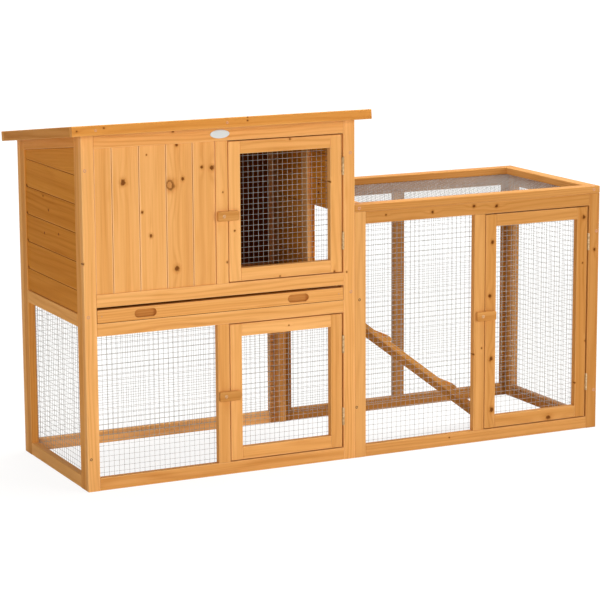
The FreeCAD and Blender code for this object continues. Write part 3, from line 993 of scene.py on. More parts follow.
@dataclass(frozen=True)
class Felt:
    """Roofing felt with a mineral grit: pale grains on dark bitumen, over slow, worn patches."""

    name: str
    bitumen: str = "1d2524"
    grains: str = "4c5955"
    grit_scale: float = 900.0
    grit_band: Span = (0.42, 0.6)
    grit_strength: float = 0.6
    grit_high: float = 0.0008
    worn_scale: float = 9.0
    worn_band: Span = (0.45, 0.8)
    worn_share: float = 0.3
    rough: float = 0.85

    def material(self) -> bpy.types.Material:
        """Builds the finish."""
        board = MaterialBoard(self.name)
        grains = colour(self.grains)
        grit = board.noise(board.place(), self.grit_scale, 2.0, 0.7)
        worn = board.noise(board.place(), self.worn_scale, 3.0)
        base = board.mixed(grit.eased(*self.grit_band), colour(self.bitumen), grains)
        base = board.mixed(worn.eased(*self.worn_band) * self.worn_share, base, grains)
        board.set(Base_Color=base, Roughness=grit * 0.1 + self.rough, Specular_IOR_Level=0.25)
        board.bump(grit, self.grit_strength, self.grit_high)
        return board.material


@dataclass(frozen=True)
class Enamel:
    """A thin painted plate, with a faint mottle in its paint."""

    name: str
    face: str = "ccd6dc"
    mottle: str = "aeb9c0"
    mottle_scale: float = 400.0
    mottle_share: float = 0.12
    rough: float = 0.28
    coat: float = 0.3

    def material(self) -> bpy.types.Material:
        """Builds the finish."""
        board = MaterialBoard(self.name)
        mottle = board.noise(board.place(), self.mottle_scale)
        share = mottle * self.mottle_share
        board.set(Base_Color=board.mixed(share, colour(self.face), colour(self.mottle)))
        board.set(Roughness=mottle * 0.08 + self.rough, Coat_Weight=self.coat)
        return board.material


class Finishes:
    """Every finish on the hutch, built once."""

    tray_slots: ClassVar[Span] = (0.003, 0.009)

    def __init__(self, shift: Array) -> None:
        """Builds the materials.

        Args:
            shift: Where the hutch's own frame lies in the model's frame, in metres.
        """

        def pine(name: str, **more: object) -> bpy.types.Material:
            """Builds one kind of pine."""
            return Pine(f"varnished_pine_{name}", **more).material()

        board = {"ring": 0.0075, "tone_spread": 0.035}
        wall = {**board, "wood": "d99139", "worn": "e2a660", "ring_strength": 0.42, "sheen": 0.01}
        cuts = tuple(float(shift[1]) + depth for depth in self.tray_slots)
        self.frame = pine("frame")
        self.boards = pine("boards", **board, ring_strength=0.32, worn="ffdcae", rubbed=0.9)
        self.wall_boards = pine("side_boards", **wall)
        self.divider_boards = pine("divider_boards", **{**wall, "wood": "ea9e3e"})
        # The back boards carry painted shade on their inner face.
        self.back_boards = pine("back_boards", inner_dark=0.9, **wall)
        self.side_frame = pine("sides", wood="e9a85c", worn="f2be7c")
        self.run_frame = pine("run", wood="d59b5a", worn="efb878")
        # Painted shade: a darker copy of the run's pine, for its side and back members, which lie
        # in shade.
        self.far_frame_painted_shade = pine("run_back", wood="b87e40", worn="d0a064")
        self.ramp = pine("ramp", wood="cf9450", worn="d6a468", sheen=0.0, tone_spread=0.04)
        self.button = pine("button", wood="d89e5c", worn="e2af76")
        # Where the tray front's painted shade goes: its slots' depths and its foot.
        carved = (*cuts, SIZES.tray_level / METRE)
        self.tray_front = pine("tray_front", wood="e9ac68", carved=carved)
        self.wire = Zinc("galvanised_wire", "bbbab6", "918f8b", 0.25, patch=180.0).material()
        self.hinge = Zinc("zinc_hinge", "d4b78e", "ad8f64", 0.35, patch=180.0).material()
        self.screw = Zinc("zinc_screw", "d8a488", "b27e62", 0.15).material()
        self.pivot = Zinc("zinc_pivot", "ddb486", "c08f5c", 0.2).material()
        # Painted shade: dark brown heads that stand in for the shade inside deep screw holes.
        self.sunk = Zinc("sunk_screw", "5a3414", "3a200c", 0.2, rough=0.5).material()
        self.felt = Felt("mineral_felt").material()
        self.plate = Enamel("painted_plate").material()


# ---------------------------------------------------------------- the workshop


class Workshop:
    """Puts finished forms into the scene as pieces that ride on the hutch's bodies."""

    weld_distance: ClassVar[float] = 0.00002
    soft_edge: ClassVar[float] = 0.0009
    soft_angle: ClassVar[float] = 50.0

    def __init__(self) -> None:
        """Finds where the hutch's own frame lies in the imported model's frame."""
        self.yard = TimberYard(YARD_SEED)
        posts_low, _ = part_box("front_posts")
        self.shift = np.array([posts_low[0], posts_low[1], 0.0])
        self.finishes = Finishes(self.shift)
        self.count = 0

    def piece(
        self,
        name: str,
        forms: Sequence[Form],
        finish: bpy.types.Material,
        body: str,
        slot: str,
        replaces: Sequence[str] = (),
    ) -> None:
        """Makes one piece of the scene, as an object at the origin.

        Args:
            name: The piece's name.
            forms: What it is made of.
            finish: Its material.
            body: The body that it rides on.
            slot: The record's material slot; not used.
            replaces: The nodes that it stands for.
        """
        whole = joined(forms)
        mesh = bpy.data.meshes.new(name)
        totals = np.concatenate([np.full(len(group), group.shape[1]) for group in whole.faces])
        flat = np.concatenate([group.ravel() for group in whole.faces]).astype(np.int32)
        flags = zip(whole.faces, whole.smooth)
        smooth = np.concatenate([np.full(len(group), flag) for group, flag in flags])
        points = whole.points / METRE + self.shift
        mesh.vertices.add(len(points))
        mesh.vertices.foreach_set("co", points.astype(np.float32).ravel())
        mesh.loops.add(len(flat))
        mesh.loops.foreach_set("vertex_index", flat)
        mesh.polygons.add(len(totals))
        mesh.polygons.foreach_set("loop_start", (np.cumsum(totals) - totals).astype(np.int32))
        mesh.polygons.foreach_set("use_smooth", smooth)
        mesh.update(calc_edges=True)
        for key, rows in whole.values.items():
            made = mesh.attributes.new(key, "FLOAT_VECTOR", "POINT")
            made.data.foreach_set("vector", rows.astype(np.float32).ravel())
        mesh.materials.append(finish)
        made_object = bpy.data.objects.new(name, mesh)
        bpy.context.scene.collection.objects.link(made_object)
        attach(made_object, body)
        if replaces:
            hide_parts(*replaces)
        self.count += 1
        log.info("%s: %d corners, %d faces, on %s", name, len(points), len(totals), body)

    def keep(self, node: str, frame: dict, finish: bpy.types.Material) -> None:
        """Gives a node that stays its own finish, and softens its edges."""
        kept = frame["nodes"][node]
        kept.data.materials.clear()
        kept.data.materials.append(finish)
        weld = kept.modifiers.new("weld", "WELD")
        weld.merge_threshold = self.weld_distance
        soft = kept.modifiers.new("soft_edges", "BEVEL")
        soft.width = self.soft_edge
        soft.segments = 2
        soft.limit_method = "ANGLE"
        soft.angle_limit = math.radians(self.soft_angle)


@dataclass
class Assembly:
    """A part of the hutch whose pieces ride on one body.

    Args:
        shop: Where it is made.
        body: The body that it rides on.
    """

    shop: Workshop
    body: str

    def _timbers(
        self,
        node: str,
        timbers: Sequence[Timber],
        finish: Optional[bpy.types.Material] = None,
        slot: str = "frame_timber",
    ) -> None:
        """Cuts the timbers of one node, of the frame's pine where no other finish is named."""
        forms = [self.shop.yard.cut(timber) for timber in timbers]
        finish = finish or self.shop.finishes.frame
        self.shop.piece(f"{node}_pine", forms, finish, self.body, slot, [node])

    def _boards(
        self, node: str, boards: Sequence[Timber], finish: Optional[bpy.types.Material] = None
    ) -> None:
        """Cuts the boards of one node, of the boards' pine where no other finish is named."""
        self._timbers(node, boards, finish or self.shop.finishes.boards, "wall_board")

    def _net(self, node: str, *bay: object) -> None:
        """Makes the wires of one node's net."""
        form = WireNet(*bay).form(self.shop.yard.chance)
        wire = self.shop.finishes.wire
        self.shop.piece(f"{node}_wires", [form], wire, self.body, "welded_wire", [node])


# ---------------------------------------------------------------- the hutch


@dataclass
class HutchFrame(Assembly):
    """The fixed two-storey frame with its boards and lower nets."""

    front_board_first: float = 44.0
    side_board_first: float = 53.5
    back_board_first: float = 50.0
    board_bevel: float = 3.0
    pop_hole: Span = (62.0, 203.0)
    pop_hole_boards: int = 3
    batten_wide: float = 30.0
    batten_thick: float = 9.0
    sill_wide: float = 60.0
    divider_foot: float = 7.0
    # Painted shade: the divider's back stile is darkened for the shade that falls on it between
    # hutch and run.
    divider_back_shade: float = -2.4
    runner_wide: float = 24.0
    runner_thick: float = 12.0
    bottom: ClassVar[Span] = (0.0, SIZES.member_wide)
    middle: ClassVar[Span] = (SIZES.floor_level - SIZES.member_wide, SIZES.floor_level)
    bay: ClassVar[Span] = (SIZES.member_wide, SIZES.hutch_wide - SIZES.member_wide)

    def build(self) -> None:
        """Builds the four walls and the tray's runners."""
        self._front()
        self._left()
        self._divider()
        self._back()
        self._runners()

    def _post(self, x: Span, y: Span, foot: float = 0.0, **more: object) -> Timber:
        """An upright that is cut to the roof's slope."""
        return beam(x, y, (foot, SIZES.wall_high), shape=trimmed_top(0.0, SIZES.wall_high), **more)

    def _front(self) -> None:
        """Builds the front frame, its closed bay and its wire bay."""
        wide, right, front = SIZES.member_wide, SIZES.hutch_wide, SIZES.front
        tray, high = SIZES.tray_level, SIZES.wall_high
        stile = ((right - wide) / 2, (right + wide) / 2)
        floor_low, top_low = tray + SIZES.tray_gap_high, high - SIZES.top_rail_wide
        upper, lower = (floor_low + wide, top_low), (wide, tray - wide)
        posts = [
            self._post((0.0, wide), front, knots=(Knot(534, 0, 2.2),), tone=0.6),
            self._post((self.bay[1], right), front, knots=(Knot(461, 8, 2.0),), tone=0.1),
        ]
        self._timbers("front_posts", posts)
        top = {"shape": trimmed_top(top_low, high), "knots": (Knot(194, 29, 2.6),), "tone": -0.7}
        for name, z, more in (
            ("top", (top_low, high), top),
            ("floor", (floor_low, upper[0]), {"tone": 0.2}),
            ("tray", (lower[1], tray), {"tone": -0.2}),
            ("bottom", self.bottom, {"tone": -1.0}),
        ):
            self._timbers(f"front_{name}_rail", [beam(self.bay, front, z, **more)])
        stiles = [
            beam(stile, front, upper, knots=(Knot(215, 17, 1.8), Knot(50, 26, 2.2)), tone=0.5),
            beam(stile, front, lower, tone=-1.1),
        ]
        self._timbers("front_stiles", stiles)
        self._front_boards((wide, stile[0]), upper)
        self._net("front_net", IN_FRONT_OR_BACK, (wide, stile[0]), lower, front[1], 1.0)

    def _upright_boards(
        self, x: Span, z: Span, front: float, first: float, rows: Sequence[dict]
    ) -> list[Timber]:
        """Upright boards over a bay, behind the frame's front; each row adds to one board."""
        y = (front + SIZES.board_recess, front + SIZES.board_recess + SIZES.board_thick)
        more = {"edge": self.board_bevel, "jointed": True}
        return [beam(span, y, z, **more, **row) for span, row in zip(board_spans(x, first), rows)]

    def _front_boards(self, x: Span, z: Span) -> None:
        """Builds the upright boards of the closed bay, with the knots that they show."""
        marks = (
            (),
            (Knot(254, 27, 6.4),),
            (Knot(126, 27, 3.8), Knot(182, 6, 3.0), Knot(313, 19, 1.8)),
            (Knot(240, 10, 10.5), Knot(252, 41, 4.0), Knot(45, 24, 6.0), Knot(332, 27, 3.6)),
            (Knot(276, 23, 3.6), Knot(273, 49, 5.6)),
        )
        lifts = (0.0, -0.3, 0.0, 0.0, -2.0)
        rows = [{"knots": knots, "lift": lift} for knots, lift in zip(marks, lifts)]
        self._boards("front_boards", self._upright_boards(x, z, 0.0, self.front_board_first, rows))

    def _side_boards(
        self,
        node: str,
        x: float,
        hole: Optional[Span],
        marks: dict[int, tuple[Knot, ...]],
        finish: bpy.types.Material,
    ) -> None:
        """Builds level boards under a sloping rail.

        Args:
            node: The node that they stand for.
            x: Their left face.
            hole: A gap in the lower boards, from front to back.
            marks: The knots of each row that shows any.
            finish: Their finish.
        """
        y0, y1 = SIZES.side_bay
        top = SIZES.wall_top(y0) - SIZES.rail_drop
        rows = board_spans((SIZES.floor_level, top), self.side_board_first)
        boards = []
        for row, z in enumerate(rows):
            parted = hole and row < self.pop_hole_boards
            spans = [(y0, hole[0]), (hole[1], y1)] if parted else [(y0, y1)]
            shape = trimmed_top(*z, SIZES.rail_drop) if z is rows[-1] else None
            more = {"edge": self.board_bevel, "jointed": True, "shape": shape}
            more["knots"] = marks.get(row, ())
            boards += [beam((x, x + SIZES.board_thick), span, z, Along.Y, **more) for span in spans]
        self._boards(node, boards, finish)

    def _side_frame(
        self, x: Span, foot: float = 0.0, lift: float = 0.0
    ) -> tuple[list[Timber], Timber]:
        """The two stiles and the sloping rail of a side frame.

        Args:
            x: The frame's left and right face.
            foot: Height of the back stile's foot.
            lift: How much paler the back stile is; a negative lift paints shade on it.

        Returns:
            The stiles and the rail.
        """
        y0, y1 = SIZES.side_bay
        back = self._post(x, (y1, SIZES.back[0]), foot, lift=lift)
        rail_z = (SIZES.wall_high - SIZES.rail_drop, SIZES.wall_high)
        stiles = [self._post(x, (SIZES.front[1], y0)), back]
        return stiles, beam(x, (y0, y1), rail_z, shape=sloped)

    def _left(self) -> None:
        """Builds the left wall."""
        x = (0.0, SIZES.member_thick)
        stiles, rail = self._side_frame(x)
        finishes = self.shop.finishes
        self._timbers("left_side_stiles", stiles, finishes.side_frame)
        levels = ((self.bottom, 1.8), (self.middle, 0.8))
        rails = [beam(x, SIZES.side_bay, z, lift=lift) for z, lift in levels]
        self._timbers("left_side_rails", rails + [rail], finishes.side_frame)
        joint = Knot(333, 2, 4.2)
        marks = {
            1: (joint,),
            2: (joint, Knot(215, 37, 2.6), Knot(119, 48, 2.6)),
            3: (joint, Knot(219, 58, 2.2), Knot(184, 29, 2.6)),
            4: (joint,),
        }
        self._side_boards("left_side_boards", SIZES.board_recess, None, marks, finishes.wall_boards)
        below = (self.bottom[1], self.middle[0])
        self._net("left_side_net", IN_A_SIDE, SIZES.side_bay, below, x[1], 1.0)

    def _divider(self) -> None:
        """Builds the wall between hutch and run, with the pop hole's battens."""
        x = (SIZES.hutch_wide - SIZES.member_thick, SIZES.hutch_wide)
        floor = SIZES.floor_level
        stiles, rail = self._side_frame(x, self.divider_foot, self.divider_back_shade)
        self._timbers("divider_stiles", stiles)
        sill = beam(x, SIZES.side_bay, (floor - self.sill_wide, floor))
        self._timbers("divider_rails", [sill, rail])
        marks = {3: (Knot(109, 57, 3.4), Knot(110, 34, 4.0))}
        finish = self.shop.finishes.divider_boards
        self._side_boards("divider_boards", x[0], self.pop_hole, marks, finish)
        start, end = self.pop_hole
        batten_x = (x[0] - self.batten_thick, x[0])
        battens = [
            beam(batten_x, y, (floor, SIZES.wall_top(y[1]) - SIZES.rail_drop))
            for y in ((start - self.batten_wide, start), (end, end + self.batten_wide))
        ]
        self._timbers("divider_battens", battens)

    def _back(self) -> None:
        """Builds the back wall."""
        wide, back = SIZES.member_wide, SIZES.back
        ends = ((0.0, wide), (self.bay[1], SIZES.hutch_wide))
        self._timbers("back_posts", [self._post(x, back) for x in ends])
        top = (SIZES.wall_top(back[1]) - wide, SIZES.wall_top(back[0]))
        levels = ((self.bottom, 1.6), (self.middle, 0.0))
        rails = [beam(self.bay, back, z, lift=lift) for z, lift in levels]
        rails.append(beam(self.bay, back, top, shape=trimmed_top(*top)))
        self._timbers("back_rails", rails)
        rows = [{}] * len(board_spans(self.bay, self.back_board_first))
        boards = self._upright_boards(
            self.bay, (SIZES.floor_level, top[0]), back[0], self.back_board_first, rows
        )
        self._boards("back_boards", boards, self.shop.finishes.back_boards)
        self._net("back_net", IN_FRONT_OR_BACK, self.bay, (wide, self.middle[0]), back[0], -1.0)

    def _runners(self) -> None:
        """Builds the two runners that carry the tray."""
        left, right = SIZES.member_thick + SIZES.net_thick, SIZES.hutch_wide - SIZES.member_thick
        y = (SIZES.front[1], SIZES.back[0] - SIZES.net_thick)
        z = (SIZES.tray_level - self.runner_thick, SIZES.tray_level)
        spans = ((left, left + self.runner_wide), (right - self.runner_wide, right))
        self._timbers("tray_runners", [beam(x, y, z) for x in spans])


@dataclass
class Tray(Assembly):
    """The slide-out floor: its front stays as packed, its walls and bottom are new."""

    high: float = 31.0
    front_thick: float = 12.0
    recess: float = 1.0
    side_clear: float = 1.5
    back_clear: float = 10.0
    wall: float = 9.0
    bottom: float = 3.0
    bottom_edge: float = 0.4

    def build(self, frame: dict) -> None:
        """Builds the tray.

        Args:
            frame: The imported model.
        """
        inset = SIZES.member_wide + self.side_clear
        x0, x1 = inset, SIZES.hutch_wide - inset
        y0, y1 = self.recess + self.front_thick, SIZES.back[0] - self.back_clear
        base = SIZES.tray_level
        top = (base + self.bottom, base + self.high)
        sides = ((x0, x0 + self.wall), (x1 - self.wall, x1))
        walls = [beam(x, (y0, y1 - self.wall), top) for x in sides]
        self._timbers("tray_walls", walls + [beam((x0, x1), (y1 - self.wall, y1), top)])
        panel = beam((x0, x1), (y0, y1), (base, base + self.bottom), edge=self.bottom_edge)
        self._boards("tray_bottom", [panel], self.shop.finishes.wall_boards)
        self.shop.keep("tray_front", frame, self.shop.finishes.tray_front)


@dataclass
class Roof(Assembly):
    """The lifting roof, worked out down its slope and square to it."""

    front_reach: float = 28.3
    side_reach: float = 31.0
    back_reach: float = 20.8
    trim_thick: float = 15.0
    trim_high: float = 23.5
    trim_drop: float = 7.0
    board_thick: float = 14.0
    board_first: float = 60.0
    board_edge: float = 2.2
    felt_thick: float = 1.5
    felt_edge: float = 0.3

    def build(self) -> None:
        """Builds the trim, the boards and the felt."""
        thick = self.trim_thick
        x0, x1 = -self.side_reach, SIZES.hutch_wide + self.side_reach
        d0, d1 = -self.front_reach, SIZES.hutch_deep / math.cos(SIZES.fall) + self.back_reach
        up = (-self.trim_drop, self.trim_high - self.trim_drop)
        inner_x, inner_d = (x0 + thick, x1 - thick), (d0 + thick, d1 - thick)
        front_knots = (Knot(77, 16, 1.8), Knot(431, 22, 1.6), Knot(430, 14, 2.0), Knot(12, 12, 2.0))
        # The trim's fixed tones are partly painted shade: darkest on the left piece, on the shaded
        # side, and dark on the front piece, which faces a little downwards.
        rows = (
            ((x0, x1), (d0, inner_d[0]), -1.5, front_knots),
            ((x0, x1), (inner_d[1], d1), -1.0, ()),
            ((x0, inner_x[0]), inner_d, -2.4, ()),
            ((inner_x[1], x1), inner_d, -1.0, ()),
        )
        trim = [
            beam(x, down, up, shape=on_roof, tone=tone, knots=knots)
            for x, down, tone, knots in rows
        ]
        self._timbers("roof_trim", trim, self.shop.finishes.side_frame)
        more = {"edge": self.board_edge, "shape": on_roof, "jointed": True}
        spans, board_up = board_spans(inner_d, self.board_first), (0.0, self.board_thick)
        self._boards("roof_boards", [beam(inner_x, span, board_up, **more) for span in spans])
        felt_up = (self.board_thick, self.board_thick + self.felt_thick)
        felt = beam(inner_x, inner_d, felt_up, edge=self.felt_edge, shape=on_roof)
        felt = self.shop.yard.cut(felt)
        finish = self.shop.finishes.felt
        self.shop.piece("roof_felt_sheet", [felt], finish, self.body, "roof_felt", ["roof_felt"])


@dataclass
class Door(Assembly):
    """A framed wire door. The name of its body starts the names of its nodes.

    Args:
        bay_x: The opening's left and right.
        bay_z: The opening's bottom and top.
        marks: Knots of the left stile, right stile, bottom rail and top rail.
        tones: How pale those four are.
        finish: A finish other than the frame's.
        hinge_inset: Distance of its hinges' middles from its ends.
    """

    bay_x: Span
    bay_z: Span
    marks: tuple[tuple[Knot, ...], ...]
    tones: tuple[float, ...]
    finish: Optional[bpy.types.Material] = None
    hinge_inset: float = 75.0
    latch_gap: float = 2.0
    hinge_gap: float = 4.5
    end_gap: float = 2.5

    def build(self) -> None:
        """Builds the stiles, the rails and the net."""
        wide = SIZES.member_wide
        x = (self.bay_x[0] + self.latch_gap, self.bay_x[1] - self.hinge_gap)
        z = (self.bay_z[0] + self.end_gap, self.bay_z[1] - self.end_gap)
        light_x, light_z = (x[0] + wide, x[1] - wide), (z[0] + wide, z[1] - wide)
        places = (
            ((x[0], light_x[0]), z),
            ((light_x[1], x[1]), z),
            (light_x, (z[0], light_z[0])),
            (light_x, (light_z[1], z[1])),
        )
        members = [
            beam(across, SIZES.front, up, knots=knots, tone=tone)
            for (across, up), knots, tone in zip(places, self.marks, self.tones)
        ]
        self._timbers(f"{self.body}_stiles", members[:2], self.finish)
        self._timbers(f"{self.body}_rails", members[2:], self.finish)
        self._net(f"{self.body}_net", IN_FRONT_OR_BACK, light_x, light_z, SIZES.front[1], 1.0)


@dataclass
class Run(Assembly):
    """The low wire run with its wired lid."""

    def build(self) -> None:
        """Builds the front, side and back frames, the lid and the nets."""
        wide, high, front, back = SIZES.member_wide, SIZES.run_high, SIZES.front, SIZES.back
        left, right = SIZES.hutch_wide, SIZES.run_right
        middle_low = left + (SIZES.run_wide - wide) / 2
        ends, middle = ((left, left + wide), (right - wide, right)), (middle_low, middle_low + wide)
        bay_x, bay_z, full = (left + wide, right - wide), (wide, high - wide), (0.0, high)
        rail_z = ((0.0, wide), (high - wide, high))
        # The run's side and back members take the darker copy, whose colour paints their shade.
        near, far = self.shop.finishes.run_frame, self.shop.finishes.far_frame_painted_shade
        uprights = [
            beam(ends[0], front, full, tone=1.6),
            beam(middle, front, bay_z, knots=(Knot(208, 22, 2.2), Knot(194, 0, 1.8)), tone=1.0),
            beam(ends[1], front, full, knots=(Knot(460, 17, 3.6),), tone=-1.5),
        ]
        self._timbers("run_front_uprights", uprights, near)
        top_marks = (Knot(181, 16, 3.6), Knot(297, 22, 3.8), Knot(361, 18, 4.2), Knot(54, 18, 2.2))
        rails = [
            beam(bay_x, front, rail_z[0], knots=(Knot(232, 21, 1.8),), tone=0.9),
            beam(bay_x, front, rail_z[1], knots=top_marks, tone=-1.3),
        ]
        self._timbers("run_front_rails", rails, near)
        self._net("run_front_net", IN_FRONT_OR_BACK, (bay_x[0], middle[0]), bay_z, front[1], 1.0)
        side_x = (right - SIZES.member_thick, right)
        y0, y1 = SIZES.side_bay
        stiles = [beam(side_x, y, full) for y in ((front[1], y0), (y1, back[0]))]
        self._timbers("run_side_stiles", stiles, far)
        self._timbers("run_side_rails", [beam(side_x, (y0, y1), z) for z in rail_z], far)
        self._net("run_side_net", IN_A_SIDE, (y0, y1), bay_z, side_x[0], -1.0)
        posts = [
            beam(ends[0], back, full),
            beam(middle, back, bay_z),
            beam(ends[1], back, full, tone=-2.6),
        ]
        self._timbers("run_back_posts", posts, far)
        self._timbers("run_back_rails", [beam(bay_x, back, z) for z in rail_z], far)
        self._net("run_back_net", IN_FRONT_OR_BACK, bay_x, bay_z, back[0], -1.0)
        z = (high, high + SIZES.member_thick)
        bay_y = (wide, SIZES.hutch_deep - wide)
        # The lid's fixed tones paint light and shade: its back rail is darker for the hutch's
        # shadow, its left rail paler for the light on its top.
        lid = [
            beam((left, right), (0.0, bay_y[0]), z),
            beam((left, right), (bay_y[1], SIZES.hutch_deep), z, tone=-1.6),
            beam(ends[0], bay_y, z, tone=2.0),
            beam(ends[1], bay_y, z),
        ]
        self._timbers("run_lid_frame", lid, near)
        self._net("run_lid_net", IN_THE_LID, bay_x, bay_y, high, -1.0)


@dataclass
class Ramp(Assembly):
    """The ramp, worked out down its slope and square to it, and its cleats."""

    wide: float = 120.0
    middle: float = 127.0
    thick: float = 12.5
    edge: float = 0.9
    top: float = 365.0
    angle: float = 37.5
    cleat_wide: float = 20.0
    cleat_high: float = 9.0
    cleats: tuple[float, ...] = (158.0, 388.0)

    def build(self) -> None:
        """Builds the board and its cleats.

        The board is cut upright at its top and level at its foot: distances down the slope are
        stretched between the two cuts, which lean by the tangent of the slope's angle, or of what
        it lacks of a right angle, times the depth in the board.
        """
        slope = math.radians(self.angle)
        placed = partial(down_slope, run=Along.X, angle=slope, start=SIZES.hutch_wide, top=self.top)
        long = self.top / math.sin(slope)

        def cut(points: Array) -> Array:
            """Moves the board's ends to its cuts and places it."""
            start = -points[:, 2] * math.tan(slope)
            end = long + points[:, 2] / math.tan(slope)
            moved = points.copy()
            moved[:, 0] = start + points[:, 0] / long * (end - start)
            return placed(moved)

        y = (self.middle - self.wide / 2, self.middle + self.wide / 2)
        half, finish = self.cleat_wide / 2, self.shop.finishes.ramp
        board = beam((0.0, long), y, (-self.thick, 0.0), edge=self.edge, shape=cut)
        self._boards("ramp_board", [board], finish)
        spans = [(place - half, place + half) for place in self.cleats]
        cleats = [beam(x, y, (0.0, self.cleat_high), shape=placed) for x in spans]
        self._timbers("ramp_cleats", cleats, finish)


# ---------------------------------------------------------------- small metal parts


@dataclass(frozen=True)
class Screw:
    """A screw head with a cross recess.

    Args:
        centre: Where its axis meets the surface that it is driven into.
        axis: The axis it is driven along.
        way: The side that its head faces.
        radius: Radius of the head.
        proud: How far the head stands out.
        sunk: How far its rim goes below the surface.
        sides: Corners round it.
        recess: Depth of the cross.
    """

    centre: Point
    axis: Along = Along.Y
    way: float = -1.0
    radius: float = 4.0
    proud: float = 0.35
    sunk: float = 0.5
    sides: int = 24
    recess: float = 1.1
    ring_shares: ClassVar[Array] = np.array(
        [0.08, 0.2, 0.3, 0.42, 0.54, 0.62, 0.7, 0.86, 0.96, 1.0, 0.94]
    )
    rim_depths: ClassVar[Span] = (-0.12, -1.0)
    arm_share: ClassVar[float] = 0.15
    cross_share: ClassVar[float] = 0.66
    cross_rise: ClassVar[float] = 0.6

    def form(self) -> Form:
        """Makes the head.

        Its height over a radius and a turn is a shallow dome less a cross: the recess's depth times
        a mask that is 1 where the smaller of the two distances from the cross's arms is small and
        the radius is under two thirds of the head.
        """
        turn = circle(self.sides)
        share = self.ring_shares[:, None]
        height = self.proud * np.clip(1 - share**2, 0.0, 1.0)
        height[-2:, 0] = np.array(self.rim_depths) * self.sunk
        arm = np.minimum(np.abs(np.cos(turn)), np.abs(np.sin(turn))) * share
        cross = (arm < self.arm_share) & (share < self.cross_share)
        out = height - np.where(cross, self.recess * (1 - self.cross_rise * share), 0.0)
        stack = turned(self.way * out, share * self.radius, turn, self.axis)
        return rings(stack + np.array(self.centre), smooth=False)


